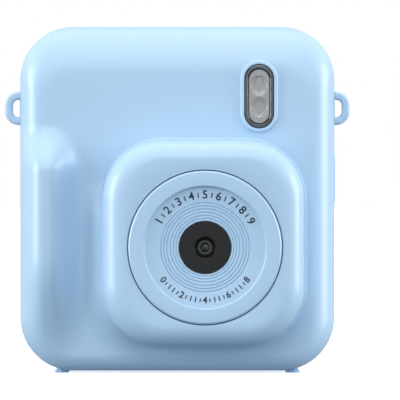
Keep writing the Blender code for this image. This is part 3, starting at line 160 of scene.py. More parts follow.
def skin_over(rings, closed=False):
    """Points and faces over equal rings: capped at both ends, or closed from the last ring to the first."""
    count = len(rings[0])
    faces = [] if closed else [tuple(reversed(range(count)))]
    for row in range(len(rings) if closed else len(rings) - 1):
        a = row * count
        b = (row + 1) % len(rings) * count
        faces += [(a + k, a + (k + 1) % count, b + (k + 1) % count, b + k) for k in range(count)]
    if not closed:
        last = (len(rings) - 1) * count
        faces.append(tuple(range(last, last + count)))
    return np.vstack(rings), faces


def together(*bodies):
    """Several separate bodies as one set of points and faces."""
    points = []
    faces = []
    total = 0
    for more, sides in bodies:
        points.append(np.asarray(more, dtype=float))
        faces += [tuple(k + total for k in side) for side in sides]
        total += len(more)
    return np.vstack(points), faces


def side_steps(count, crowd=0.0, at=0.0):
    """Even steps along a side, or steps crowded towards one place on it."""
    share = np.linspace(0, 1, 400)
    dense = np.exp(-((share - at) / 0.22) ** 2) * crowd + 1.0
    total = np.concatenate([[0], np.cumsum(dense)])[:400]
    return np.interp(np.arange(count) / count, total / total[-1], share)


shell_sides = (side_steps(24), side_steps(24), side_steps(80, 1.5, 0.28), side_steps(54, 2.5, 0.1))
plain_sides = (np.zeros(1),) * 4


def loop_of(left, right, low, high, radius, arc=20, sides=shell_sides):
    """A rounded rectangle as arrays x, z and the upward part of the outward direction."""
    centres = ((right - radius, high - radius), (left + radius, high - radius),
               (left + radius, low + radius), (right - radius, low + radius))
    rows = []
    for k in range(4):
        turn = math.pi / 2 * k
        x = centres[k - 1][0] + (centres[k][0] - centres[k - 1][0]) * sides[k] + radius * math.cos(turn)
        z = centres[k - 1][1] + (centres[k][1] - centres[k - 1][1]) * sides[k] + radius * math.sin(turn)
        rows.append(np.stack([x, z, np.full_like(x, math.sin(turn))], 1))
        angle = turn + math.pi / 2 * np.arange(arc) / arc
        rows.append(np.stack([centres[k][0] + radius * np.cos(angle), centres[k][1] + radius * np.sin(angle),
                              np.sin(angle)], 1))
    return np.vstack(rows).T


def fade(value, full, none):
    """1 at full, 0 at none, soft at both ends."""
    return 0.5 + 0.5 * np.cos(math.pi * np.clip((value - full) / (none - full), 0, 1))


def face_y(x, z):
    """The front face under the housing: flat, with the grip bulge and the sweep up to the housing's left."""
    across = np.clip((x - grip_crest) / (grip_valley - grip_crest), 0, 1)
    up = np.clip((z - grip_full) / (grip_end - grip_full), 0, 1)
    bulge = grip_rise * fade(np.hypot(across, up), 0, 1) * fade(-z, -33.0, 0.0)
    left, right, low, high = housing
    across = np.maximum(0, np.abs(x - (left + right) / 2) - (right - left) / 2 + housing_corner)
    up = np.maximum(0, np.abs(z - (low + high) / 2) - (high - low) / 2 + housing_corner)
    reach = np.hypot(across, up) + 1e-6
    away = np.clip((reach - housing_corner) / skirt_width, 0, 1)
    sweep = skirt_rise * (across / reach) ** 2 * (1 - away) ** 2 * fade(z, 42.0, 56.0)
    return front_face - bulge - sweep * (x < (left + right) / 2)


def body_ring(turn, inset):
    """From the side wall (turn 0) round to the front face (turn 90 degrees)."""
    share = 1 - math.cos(turn)
    side = inset + (edge_side - inset) * share
    x, z, up = loop_of(-half_width + side, half_width - side, body_low + inset + (edge_low - inset) * share,
                       body_high - inset - (edge_top - inset) * share, corner - side)
    start = edge_start_low * np.maximum(0, -up) ** 2
    return np.stack([x, start + (face_y(x, z) + inset - start) * math.sin(turn), z], 1)


def level_ring(inset, y, sides=shell_sides):
    """The body's outline at one depth, drawn in by the inset."""
    x, z, _ = loop_of(-half_width + inset, half_width - inset, body_low + inset, body_high - inset,
                      corner - inset, 20, sides)
    return np.stack([x, np.full_like(x, y), z], 1)


def housing_ring(draw_in, draw_in_left, y=None, inset=0.0):
    """The housing's outline, drawn in from its foot; without a depth it lies on the front face."""
    left, right, low, high = housing
    x, z, _ = loop_of(left + draw_in_left, right - draw_in, low + draw_in, high - draw_in,
                      housing_corner - min(draw_in, draw_in_left))
    return np.stack([x, face_y(x, z) + inset if y is None else np.full_like(x, y), z], 1)


def across_face(first, second, count, inset):
    """Rings between two others, laid on the front face."""
    rings = []
    for share in np.linspace(0, 1, count + 2)[1:-1]:
        ring = first + (second - first) * share
        ring[:, 1] = face_y(ring[:, 0], ring[:, 2]) + inset
        rings.append(ring)
    return rings


def seat_ring(guide, radius, y):
    """A circle round the lens axis whose points face those of the guide ring."""
    away = guide[:, [0, 2]] - (lens_x, lens_z)
    away = away / np.linalg.norm(away, axis=1)[:, None]
    return np.stack([lens_x + radius * away[:, 0], np.full(len(guide), y), lens_z + radius * away[:, 1]], 1)


turns = np.linspace(0, math.pi / 2, 25)
seam = 0.35                                # softened lip where the two shells meet
outside = [level_ring(seam, parting), level_ring(seam * 0.3, parting - seam * 0.3),
           level_ring(0, parting - seam),
           level_ring(0, parting / 2)]
outside += [body_ring(turn, 0) for turn in turns]
foot = housing_ring(0, 0)
outside += across_face(outside[-1], foot, 42, 0) + [foot]
ledge = 0.1 + 0.9 * np.clip((foot[:, :1] - housing[0] - 3) / 8, 0, 1)      # fades out on the grip side
outside += [foot * (1 - ledge) + housing_ring(draw_in, draw_in, inset=-rise) * ledge
            for draw_in, rise in ((0.02, 0.3), (0.1, 0.46), (0.25, 0.55), (0.7, 0.58))]
for turn in np.linspace(0, math.pi / 2, 20):
    share = 1 - math.cos(turn)
    outside.append(housing_ring(housing_draft + housing_edge * share,
                                housing_draft + housing_edge_left * share,
                                housing_face + housing_edge * (1 - math.sin(turn))))
guide = outside[-1]
outside += [seat_ring(guide, seat_radius + 0.16, housing_face),
            seat_ring(guide, seat_radius + 0.05, housing_face + 0.04),
            seat_ring(guide, seat_radius, housing_face + 0.15), seat_ring(guide, seat_radius, seat_floor)]

inside = [level_ring(wall, parting + 1)] + [body_ring(turn, wall) for turn in turns[::4]]
foot = housing_ring(wall, wall, inset=wall)
inside += across_face(inside[-1], foot, 12, wall) + [foot]
for turn in (0.0, 0.5, 1.0, math.pi / 2):
    draw_in = wall + housing_draft + 2.5 * (1 - math.cos(turn))
    inside.append(housing_ring(draw_in, draw_in, housing_face + wall + 2.5 * (1 - math.sin(turn))))
inside += [seat_ring(guide, seat_radius + 1.1, y) for y in (housing_face + wall, seat_floor + 1.5)]


def lofted(stations, centre, way="Y", arc=10):
    """A solid through rounded rectangles (depth, width, height, radius) about a centre, lying across an axis.

    Depths run against Y, or along X or Z; the radius is limited to half of the narrow side.
    """
    rings = []
    for depth, width, height, radius in stations:
        radius = min(radius, width / 2 - 0.001, height / 2 - 0.001)
        u, v, _ = loop_of(centre[0] - width / 2, centre[0] + width / 2, centre[1] - height / 2,
                          centre[1] + height / 2, radius, arc, plain_sides)
        level = np.full_like(u, depth)
        rings.append(np.stack({"Y": (u, level, v), "X": (level, u, v), "Z": (u, v, level)}[way], 1))
    return skin_over(rings)


def spun(profile, centre, way, closed=False, steps=96):
    """A turned solid: (radius, height) from top to bottom down the outer side; closed makes a ring of it."""
    angles = np.linspace(0, 2 * math.pi, steps, endpoint=False)
    rings = []
    for radius, height in reversed(profile):
        u = max(radius, 1e-4) * np.cos(angles)
        v = max(radius, 1e-4) * np.sin(angles)
        h = np.full(steps, height)
        rings.append(np.stack({"-Y": (u, -h, v), "+Y": (-u, h, v), "+Z": (u, v, h), "+X": (h, u, v)}[way], 1)
                     + np.array(centre))
    return skin_over(rings, closed)


def carve(piece, body, operation="DIFFERENCE"):
    """Cuts a body out of a piece, or joins it on, and keeps the result."""
    tool = add_mesh("tool", body, piece.data.materials[0])
    step = piece.modifiers.new("carve", "BOOLEAN")
    step.operation = operation
    step.solver = "EXACT"
    step.object = tool
    bpy.context.view_layer.update()
    ready = bpy.data.meshes.new_from_object(piece.evaluated_get(bpy.context.evaluated_depsgraph_get()))
    piece.modifiers.clear()
    piece.data = ready
    bpy.data.objects.remove(tool, do_unlink=True)
    ready.shade_smooth()
    ready.set_sharp_from_angle(angle=math.radians(32))
    return piece


def round_over(depth, width, height, edge, steps=5):
    """Stations of a rounded edge at the front of a plate, its face at the given depth."""
    out = []
    for turn in np.linspace(0, math.pi / 2, steps):
        less = 2 * edge * (1 - math.cos(turn))
        out.append((depth + edge * (1 - math.sin(turn)), width - less, height - less, 99))
    return out


front_shell = add_mesh("front_shell_skin", skin_over(outside), satin_blue_abs)
carve(front_shell, skin_over(inside))
rim = lofted([(front_face + 1, *flash_rim, 99)] + round_over(flash_rim_front, *flash_rim, 0.5),
             (flash_x, flash_z), arc=16)
carve(front_shell, rim, "UNION")
mouth = [(2, *flash_hole, 99), (flash_rim_front + 0.3, *flash_hole, 99),
         (flash_rim_front + 0.08, flash_hole[0] + 0.1, flash_hole[1] + 0.1, 99),
         (flash_rim_front - 0.05, flash_hole[0] + 0.5, flash_hole[1] + 0.5, 99),
         (flash_rim_front - 6, flash_hole[0] + 0.5, flash_hole[1] + 0.5, 99)]
slots = [lofted([(side * 44 - 3, 3.6, lug_high - lug_low + 0.6, 0.3),
                 (side * 44 + 3, 3.6, lug_high - lug_low + 0.6, 0.3)],
                (1.0, (lug_low + lug_high) / 2), "X") for side in (-1, 1)]
collar_hole = spun([(0, 8), (14, 8), (14, -8), (0, -8)], (lens_x, seat_floor, lens_z), "-Y")
carve(front_shell, together(collar_hole, lofted(mouth, (flash_x, flash_z), arc=16), *slots))
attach(front_shell, "body")
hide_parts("front_shell")

# ---- Strap lugs ----
# Two D-shaped loops of the same blue plastic, put through slots in the shell from inside and held by a flange
# behind the wall. Each is moulded with soft edges so that a cord doesn't chafe.
lug_out = 49.4
lug_band = 2.3
lug_bend = 3.9
lug_y = 1.0
lug_thick = 3.0
lug_inner_end = 40.5
lug_root = (43.4, 1.7, 9.3)                # middle, half depth and height of the flange behind the wall


def u_path(side):
    """The middle of a lug's band, from its upper end round to its lower end, with the outward direction."""
    mid = lug_band / 2
    bend = lug_bend - mid
    points = [(lug_inner_end, lug_high - mid, 0, 1)]
    for centre_z, start in ((lug_high - lug_bend, 90), (lug_low + lug_bend, 0)):
        for k in range(11):
            angle = math.radians(start - 9 * k)
            points.append((lug_out - lug_bend + bend * math.cos(angle), centre_z + bend * math.sin(angle),
                           math.cos(angle), math.sin(angle)))
    points.append((lug_inner_end, lug_low + mid, 0, -1))
    if side < 0:
        points = [(-x, z, -nx, nz) for x, z, nx, nz in reversed(points)]
    return points


for name, side in (("strap_lug_left", -1), ("strap_lug_right", 1)):
    u, v, _ = loop_of(-lug_band / 2, lug_band / 2, -lug_thick / 2, lug_thick / 2, 0.7, 5, plain_sides)
    rings = [np.stack([x + nx * u, lug_y + v, z + nz * u], 1) for x, z, nx, nz in u_path(side)]
    middle, half, tall = lug_root
    root = lofted([(side * middle + end, lug_thick - 0.1, tall, 0.3) for end in (-half, half)],
                  (lug_y, (lug_low + lug_high) / 2), "X")
    lug = add_mesh(name + "_loop", together(skin_over(rings), root), satin_blue_abs)
    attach(lug, "body")
    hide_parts(name)

# ---- Rear shell ----
# The back half, moulded in the same satin blue plastic, with a tongue that registers in the front shell.
# It has the screen opening, holes for the keys, speaker, microphone and light, wells for the four screws, and
# on the right-hand side the seat of the port cover and the slot of the memory card.
back_face = 23.2
back_edge = 6.0
rear_front = parting + gap
post_floor = 7.0
post_radius = 3.2
well_radius = 2.2
pilot_radius = 1.3
screw_x = 34.5
screw_z = (12.0, 87.6)
screen_z = 66.0
screen_opening = (42.0, 32.0)
screen_window = (46.4, 36.4)
window_seat = back_face - 1.3
# name, middle and radius
keys = (("key_up", -18.0, 40.7, 2.6), ("key_down", -18.0, 24.3, 2.6), ("key_left", -9.8, 32.5, 2.6),
        ("key_right", -26.2, 32.5, 2.6), ("key_ok", -18.0, 32.5, 3.2), ("key_mode", 9.0, 37.0, 3.2),
        ("key_play", 23.0, 37.0, 3.2))
speaker = (12.0, 11.8)
speaker_hole = 0.7
speaker_pitch = 2.6
light = (34.5, 48.0)
light_radius = 1.2
microphone = (34.5, 40.0)
microphone_hole = 0.6
# name, middle, radius, and the radius and depth of the round dish that it stands in
top_buttons = (("shutter_button", -26.0, 4.5, 30.0, 0.6), ("power_button", -12.0, 2.8, 16.0, 0.5))
button_y = 12.6
port = (13.6, 55.7)
port_mouth = (3.9, 9.6, 1.6)
cover_size = (7.0, 13.8)
cover_seat = 44.1
card_y = 13.9
card_z = 34.0
card_slot = (1.5, 11.8)


def back_ring(turn, inset):
    """From the flat back (turn 0) round to the side walls (turn 90 degrees)."""
    radius = back_edge - inset
    return level_ring(inset + radius * (1 - math.sin(turn)), back_face - back_edge + radius * math.cos(turn),
                      plain_sides)


def drilled(radius, place, way, lip=0.25, depth=4.0):
    """A hole cutter with a softened mouth at the surface, where its height is 0."""
    profile = [(0, 3), (radius + lip, 3), (radius + lip, 0), (radius + lip * 0.3, -lip * 0.3), (radius, -lip),
               (radius, -depth), (0, -depth)]
    return spun(profile, place, way, steps=48)


rear = [back_ring(turn, 0) for turn in np.linspace(0, math.pi / 2, 17)]
rear += [level_ring(0, rear_front + seam, plain_sides),
         level_ring(seam * 0.3, rear_front + seam * 0.3, plain_sides),
         level_ring(seam, rear_front, plain_sides), level_ring(wall + gap, rear_front, plain_sides),
         level_ring(wall + gap, parting - 1.2, plain_sides)]
rear_shell = add_mesh("rear_shell_skin", skin_over(rear), satin_blue_abs)
hollow = [back_ring(turn, wall) for turn in np.linspace(0, math.pi / 2, 5)]
hollow += [level_ring(wall, parting + 1.8, plain_sides),
           level_ring(wall + gap + 0.9, parting + 1, plain_sides),
           level_ring(wall + gap + 0.9, parting - 3, plain_sides)]
hollow = add_mesh("rear_hollow", skin_over(hollow), satin_blue_abs)
posts = [spun([(0, 30), (post_radius, 30), (post_radius, 0), (0, 0)], (x, rear_front, z), "+Y", steps=32)
         for x in (-screw_x, screw_x) for z in screw_z]
carve(hollow, together(*posts))
carve(rear_shell, (np.array([v.co for v in hollow.data.vertices]) / MM,
                   [tuple(side.vertices) for side in hollow.data.polygons]))
bpy.data.objects.remove(hollow, do_unlink=True)
width, height = screen_window
recess = [(back_face + 2, width + 1.2, height + 1.2, 4.8), (back_face, width + 1.2, height + 1.2, 4.8),
          (back_face - 0.1, width + 0.8, height + 0.8, 4.6),
          (back_face - 0.3, width + 0.6, height + 0.6, 4.5),
          (window_seat, width + 0.6, height + 0.6, 4.5)]
opening = [(back_face + 1, *screen_opening, 2.5), (back_face - 5, *screen_opening, 2.5)]
well_depth = back_face - post_floor
wells = [spun([(0, 30), (well_radius + 0.3, 30), (well_radius + 0.3, well_depth),
               (well_radius, well_depth - 0.3), (well_radius, 0), (pilot_radius, 0), (pilot_radius, -3),
               (0, -3)], (x, post_floor, z), "+Y", steps=48)
         for x in (-screw_x, screw_x) for z in screw_z]
holes = [drilled(radius + gap, (x, back_face, z), "+Y") for name, x, z, radius in keys]
holes += [drilled(speaker_hole, (speaker[0] + away * math.cos(turn), back_face,
                                 speaker[1] + away * math.sin(turn)), "+Y", 0.15)
          for away, turn in [(0, 0)] + [(speaker_pitch, math.pi / 3 * k) for k in range(6)]]
holes += [drilled(microphone_hole, (microphone[0], back_face, microphone[1]), "+Y", 0.15),
          drilled(light_radius + gap, (light[0], back_face, light[1]), "+Y", 0.15)]
carve(rear_shell, together(lofted(recess, (0, screen_z)), *wells, *holes))
carve(rear_shell, lofted(opening, (0, screen_z)))
sides = []
for name, x, radius, ball, depth in top_buttons:
    wide = 1.2 * math.acos(1 - depth / ball)
    bowl = [(ball * math.sin(wide * k / 8), ball * (1 - math.cos(wide * k / 8)) - depth)
            for k in range(8, 0, -1)]
    bowl = [(r, h) for r, h in bowl if r > radius + gap + 0.2]
    lip = bowl[-1][1] - 0.1
    sides.append(spun([(0, bowl[0][1])] + bowl + [(radius + gap + 0.1, lip), (radius + gap, lip - 0.2),
                                                  (radius + gap, -4),
                                                 (0, -4)], (x, button_y, body_high), "+Z"))
width, height = cover_size
sides.append(lofted([(40, *port_mouth), (cover_seat, *port_mouth),
                     (cover_seat, width + 0.6, height + 1.2, 1.8),
                     (half_width - 0.15, width + 0.6, height + 1.2, 1.8),
                     (half_width + 0.05, width + 1, height + 1.6, 2),
                     (half_width + 2, width + 1, height + 1.6, 2)], port, "X"))
width, height = card_slot
sides.append(lofted([(41, width, height, 0.4), (half_width - 0.3, width, height, 0.4),
                     (half_width + 0.05, width + 0.6, height + 0.6, 0.7),
                     (half_width + 2, width + 0.6, height + 0.6, 0.7)], (card_y, card_z), "X"))
foot_radius = 2.0
foot_stem = 0.9
socket_profile = [(0, 4), (foot_stem + gap, 4), (foot_stem + gap, 0.5), (foot_radius + gap, 0.5),
                  (foot_radius + gap, -1), (0, -1)]
sockets = [spun(socket_profile, (x, 16.0, body_low), "+Z", steps=32) for x in (-33, 33)]
carve(rear_shell, together(*sides, *sockets))
flat_back = rear_shell.modifiers.new("flat_back", "WEIGHTED_NORMAL")
flat_back.keep_sharp = True
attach(rear_shell, "body")
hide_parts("rear_shell")

# ---- Feet ----
# Four small pads of soft blue plastic under the body.
# Each is pressed by its stem into a pocket of a shell.
# satin rubbery blue plastic: duller than the shell, so the pads look soft
soft_blue_pad = finish_of("soft_blue_pad", ("9CC2E6", "97BDE2"), 6, 0.6, 0.3, 0.03)
for name in ("foot_front_left", "foot_front_right", "foot_back_left", "foot_back_right"):
    low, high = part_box(name)
    middle = ((low.x + high.x) / 2 / MM, (low.y + high.y) / 2 / MM, 0)
    profile = [(0, 3.2), (foot_stem, 3.2), (foot_stem, 0.8), (foot_radius, 0.8), (foot_radius, 0.2),
               (foot_radius - 0.06, 0.06), (foot_radius - 0.2, 0), (0, 0)]
    foot = add_mesh(name + "_pad", spun(profile, middle, "+Z", steps=40), soft_blue_pad)
    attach(foot, "body")
    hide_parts(name)

# ---- Lens ring ----
# A moulded ring of the blue plastic, pressed into the housing: flat rim, sunk dish and six fine grooves.
# Its dial of numbers and ticks is pad printed in the dish in dark blue ink.
ring_radius = 21.8
ring_front = -24.0
dish_radius = 17.2
dish_outer = -23.0
dish_inner = -22.5
cover_radius = 7.3
grooves = (8.2, 9.0, 9.9, 10.9, 11.75, 12.6)
groove_half = 0.24
groove_depth = 0.34
ring_back = -20.6
collar_radius = 13.7
collar_back = -18.4
barrel_bore = 3.9
tube_radius = 5.1
tube_back = -13.2


def dish_y(radius):
    """The floor of the dish, which slopes gently in towards the plate."""
    share = (dish_radius - radius) / (dish_radius - cover_radius - gap)
    return dish_outer + (dish_inner - dish_outer) * share


def softened(corners, steps=5):
    """A closed outline of (u, v, radius) corners with each corner rounded."""
    out = []
    for k, (u, v, radius) in enumerate(corners):
        here = Vector((u, v))
        before = Vector(corners[k - 1][:2]) - here
        after = Vector(corners[(k + 1) % len(corners)][:2]) - here
        if radius <= 0:
            out.append((u, v))
            continue
        reach = min(radius / math.tan(before.angle(after) / 2), before.length * 0.45, after.length * 0.45)
        start = here + before.normalized() * reach
        end = here + after.normalized() * reach
        for share in np.linspace(0, 1, steps):
            point = start * (1 - share) ** 2 + here * 2 * share * (1 - share) + end * share ** 2
            out.append((point.x, point.y))
    return out


def polar(corners):
    """Corners given as (radius, y) turned into (radius, height) towards the front."""
    return [(r, -y, soft) for r, y, soft in corners]


profile = [(cover_radius + gap, dish_inner, 0.08)]
for radius in grooves:
    profile += [(radius - groove_half, dish_y(radius), 0.06), (radius, dish_y(radius) + groove_depth, 0.05),
                (radius + groove_half, dish_y(radius), 0.06)]
profile += [(dish_radius, dish_outer, 0.15), (dish_radius + 0.35, ring_front, 0.2),
            (ring_radius - 0.45, ring_front, 0.15),
            (ring_radius, ring_front + 0.45, 0.15), (ring_radius, ring_back, 0),
            (collar_radius, ring_back, 0),
            (collar_radius, collar_back, 0), (tube_radius, collar_back, 0), (tube_radius, tube_back, 0),
            (barrel_bore, tube_back, 0), (barrel_bore, ring_back - 0.2, 0),
            (cover_radius + gap, ring_back - 0.2, 0)]
lens_ring = add_mesh("lens_ring_dish", spun(softened(polar(profile)), (lens_x, 0, lens_z), "-Y", True, 240),
                     satin_blue_abs, 28)
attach(lens_ring, "body")
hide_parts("lens_ring")

# pad-printed ink: a dark blue that lies thin and nearly matt on the plastic
printed_blue_ink = finish_of("printed_blue_ink", ("22314F", "1C2A46"), 3, 0.5, 0.15, 0.01)


def numeral(text, size):
    """The outline of a number as flat points about its centre, and its faces."""
    curve = bpy.data.curves.new("numeral", "FONT")
    curve.body = text
    curve.size = size
    curve.align_x = "CENTER"
    curve.align_y = "CENTER"
    curve.resolution_u = 4
    curve.extrude = 0.03
    curve.offset = 0.05
    letter = bpy.data.objects.new("numeral", curve)
    bpy.context.scene.collection.objects.link(letter)
    bpy.context.view_layer.update()
    mesh = bpy.data.meshes.new_from_object(letter.evaluated_get(bpy.context.evaluated_depsgraph_get()))
    points = np.array([v.co for v in mesh.vertices])
    faces = [tuple(side.vertices) for side in mesh.polygons]
    bpy.data.objects.remove(letter, do_unlink=True)
    return points, faces


def tick(width, length):
    """A short straight mark about its centre."""
    w = width / 2
    h = length / 2
    points = np.array([(x, y, z) for z in (-0.03, 0.03) for x, y in ((-w, -h), (w, -h), (w, h), (-w, h))])
    faces = [(3, 2, 1, 0), (4, 5, 6, 7), (0, 1, 5, 4), (1, 2, 6, 5), (2, 3, 7, 6), (3, 0, 4, 7)]
    return points, faces


def on_dish(mark, angle, radius, upright=True):
    """Lays a flat mark on the dish at an angle; upright marks have their feet towards the centre."""
    points, faces = mark
    turn = angle - math.pi / 2 if upright else angle + math.pi / 2
    u = points[:, 0] * math.cos(turn) - points[:, 1] * math.sin(turn) + radius * math.cos(angle)
    v = points[:, 0] * math.sin(turn) + points[:, 1] * math.cos(turn) + radius * math.sin(angle)
    y = dish_y(np.hypot(u, v)) - 0.01 - points[:, 2]
    return np.stack([lens_x + u, y, lens_z + v], 1), faces


marks = []
for k in range(9):
    angle = math.radians(150 - 15 * k)
    marks.append(on_dish(numeral(str(k + 1), 3.3), angle, 14.95))
    if k < 8:
        marks.append(on_dish(tick(0.32, 1.4), angle - math.radians(7.5), 14.95))
for k in range(21):
    angle = math.radians(217.5 + 5.25 * k)
    if k % 5 == 0:
        marks.append(on_dish(numeral(str(k // 5 * 2), 2.6), angle, 15.0, False))
    else:
        marks.append(on_dish(tick(0.3, 1.5 if k % 5 in (2, 3) else 1.0), angle, 15.0))
dial = add_mesh("lens_dial_print", together(*marks), printed_blue_ink)
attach(dial, "body")

# ---- Lens plate, barrel and glass ----
# A glossy black plastic plate hides the barrel of the small camera module, whose coated front glass looks
# out of it.
# The plate clips into the ring and the barrel is held in the ring's tube.
plate_front = -22.1
nose_front = -21.55
plate_back = -21.1
plate_mouth = 3.15
barrel_radius = 3.6
nose_radius = 2.0
glass_radius = 1.32
# glossy black plastic: polished, so it mirrors the room as a soft dark grey
polished_black_abs = finish_of("polished_black_abs", ("111112", "151516"), 10, 0.2, 0.2, 0.003)
profile = [(plate_mouth, plate_front, 0.08), (cover_radius - 0.15, plate_front, 0.08),
           (cover_radius, plate_front + 0.2, 0.05), (cover_radius, plate_back, 0), (2.25, plate_back, 0.05)]
plate = add_mesh("lens_plate", spun(softened(polar(profile)), (lens_x, 0, lens_z), "-Y", True, 160),
                 polished_black_abs)
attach(plate, "body")
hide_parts("lens_cover")

# turned black barrel: its colour is a dark grey, lighter than the black plate, a painted sheen for the ring
# of light round the glass; its fine grain breaks up its gloss
turned_black_barrel_painted_sheen = finish_of("turned_black_barrel_painted_sheen", ("3A3A3B", "454546"), 2, 0.38, 0.08, 0.004)
profile = [(glass_radius + 0.1, nose_front, 0.1), (nose_radius, nose_front, 0.15), (nose_radius, -20.3, 0),
           (barrel_radius, -20.3, 0.1), (barrel_radius, -11, 0), (glass_radius + 0.1, -11, 0)]
barrel = add_mesh("lens_barrel_nose", spun(softened(polar(profile)), (lens_x, 0, lens_z), "-Y", True),
                  turned_black_barrel_painted_sheen)
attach(barrel, "body")
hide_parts("lens_barrel")

# coated optical glass with a painted reflection: its colour is painted green on one side and amber on the
# other, near black between, for the lights mirrored in it
coated_glass_painted_reflection = finish_of("coated_glass_painted_reflection", ("0E1A18", "0C1514"), 2, 0.05, 0.3, 0.0005, ior=1.52, coat=0.1)
tree = coated_glass_painted_reflection.node_tree
shader = tree.nodes["Principled BSDF"]
place = node(tree, "ShaderNodeTexCoord").outputs["Object"]
split = node(tree, "ShaderNodeSeparateXYZ", links={"Vector": place})
# painted reflection: green on the left of the glass, near black in the middle, amber on the right, set by
# position
side = node(tree, "ShaderNodeMapRange", {"From Min": (lens_x - 1.0) * MM, "From Max": (lens_x + 1.0) * MM},
            {"Value": split.outputs["X"]})
reflection_paint_ramp = node(tree, "ShaderNodeValToRGB", links={"Fac": side.outputs["Result"]})
reflection_paint_ramp.color_ramp.elements[0].color = linear("1C4A34")
reflection_paint_ramp.color_ramp.elements[1].color = linear("58581E")
middle = reflection_paint_ramp.color_ramp.elements.new(0.5)
middle.color = linear("070C0B")
tree.links.new(reflection_paint_ramp.outputs["Color"], shader.inputs["Base Color"])
dome = [(glass_radius * share, 21.3 - 0.45 * share ** 2) for share in np.linspace(0, 1, 10)]
glass = add_mesh("lens_front_glass", spun(dome + [(glass_radius, 20.0), (0, 20.0)], (lens_x, 0, lens_z),
                                          "-Y"), coated_glass_painted_reflection)
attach(glass, "body")
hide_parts("lens_element")

# ---- Flash ----
# A capsule-shaped window of metallised plastic with a figure of eight moulded in it, held in a dark chromed
# trim.
# The trim is pressed into the rimmed hole of the front shell.
flash_trim = (8.25, 18.1)
flash_window = (5.9, 15.5)
window_front = -9.1
# dark chrome plating on plastic: a smoky mirror
smoky_chrome = finish_of("smoky_chrome", ("7C7F83", "6B6E72"), 5, 0.2, 0.2, 0.002, metallic=1.0)
stations = [(-5.4, *flash_trim, 99)] + round_over(-9.5, *flash_trim, 0.35)
trim = add_mesh("flash_trim_ring", lofted(stations, (flash_x, flash_z), arc=16), smoky_chrome)
width, height = flash_window
carve(trim, lofted([(-2, width + 0.4, height + 0.4, 99), (-9.2, width + 0.4, height + 0.4, 99),
                    (-9.45, width + 0.8, height + 0.8, 99), (-12, width + 0.8, height + 0.8, 99)],
                   (flash_x, flash_z), arc=16))
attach(trim, "body")
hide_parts("flash_trim")

# metallised reflector: bright silver, slightly clouded, with its relief moulded in
satin_silver = finish_of("satin_silver", ("BEBEBE", "B2B2B3"), 4, 0.36, 0.25, 0.004, metallic=1.0)
rings = [(-4.6, 1.0)] + [(window_front + 0.25, 1.0), (window_front + 0.06, 0.985)]
rings += [(window_front, share) for share in np.linspace(0.96, 0.02, 26)]
body = []
for depth, share in rings:
    u, v, _ = loop_of(-width / 2 * share, width / 2 * share, -(height - width) / 2 - width / 2 * share,
                      (height - width) / 2 + width / 2 * share, max(0.01, width / 2 * share - 0.001), 22,
                      (side_steps(30), plain_sides[0], side_steps(30), plain_sides[0]))
    y = np.full_like(u, depth)
    if share < 0.97:
        up = np.abs(v)
        waist = 2.15 * np.sin(math.pi * np.minimum(up, 3.0) / 6)
        end = 2.15 * np.sqrt(np.clip(1 - ((up - 3.0) / 2.9) ** 2, 0, 1))
        lobe = np.where(up < 3.0, waist, end)
        y = y + 0.22 * np.clip((lobe - np.abs(u)) / 0.9, 0, 1)
        y = y + 0.15 * np.exp(-((np.abs(u) - lobe) / 0.16) ** 2) * (up < 5.8)
    body.append(np.stack([flash_x + u, y, flash_z + v], 1))
window = add_mesh("flash_reflector", skin_over(body), satin_silver, 25)
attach(window, "body")
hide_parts("flash_window")

# ---- Top buttons ----
# Shutter release and power button, moulded in the blue plastic with domed tops, standing in shallow dishes.
# A flange below the wall keeps each in; it presses a switch on the small board beneath.
flange_top = 96.2
flange_low = 95.4
for name, x, radius, ball, depth in top_buttons:
    top = body_high - 0.1
    profile = [(radius * share, top - 0.25 * share ** 2) for share in np.linspace(0, 0.9, 8)]
    profile += [(radius - 0.12, top - 0.3), (radius, top - 0.5), (radius, flange_top),
                (radius + 0.8, flange_top),
                (radius + 0.8, flange_low), (1.4, flange_low), (1.4, flange_low - 0.45),
                (0, flange_low - 0.45)]
    button = add_mesh(name + "_cap", spun(profile, (x, button_y, 0), "+Z"), satin_blue_abs)
    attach(button, name + "_body")
    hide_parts(name)

# the mark on the power button: an open ring and a stroke, as fine dark print
points = []
faces = []
stroke = 0.14
for k, angle in enumerate(np.radians(np.linspace(130, 410, 40))):
    for radius in (1.15 - stroke, 1.15 + stroke):
        points += [(-12 + radius * math.cos(angle), button_y + radius * math.sin(angle),
                    98.9 - 0.25 * (radius / 2.8) ** 2 + h)
                   for h in (-0.02, 0.03)]
    if k:
        a = 4 * (k - 1)
        faces += [(a, a + 4, a + 5, a + 1), (a + 2, a + 3, a + 7, a + 6), (a + 1, a + 5, a + 7, a + 3),
                  (a, a + 2, a + 6, a + 4)]
faces += [(0, 1, 3, 2), (156, 158, 159, 157)]
bar = lofted([(98.86, 0.28, 1.3, 0.1), (98.93, 0.28, 1.3, 0.1)], (-12, button_y + 0.85), "Z", 3)
power_mark = add_mesh("power_button_mark", together((np.array(points), faces), bar), printed_blue_ink)
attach(power_mark, "power_button_body")

# ---- Keys on the back ----
# Round white plastic keys, each with a lip behind the wall, backed by one rubber mat that springs them.
# Their marks are printed on in grey.
# white ABS: a touch warm, semi-gloss
glossy_white_abs = finish_of("glossy_white_abs", ("EEF0F2", "E6EAEE"), 8, 0.25, 0.2, 0.005)
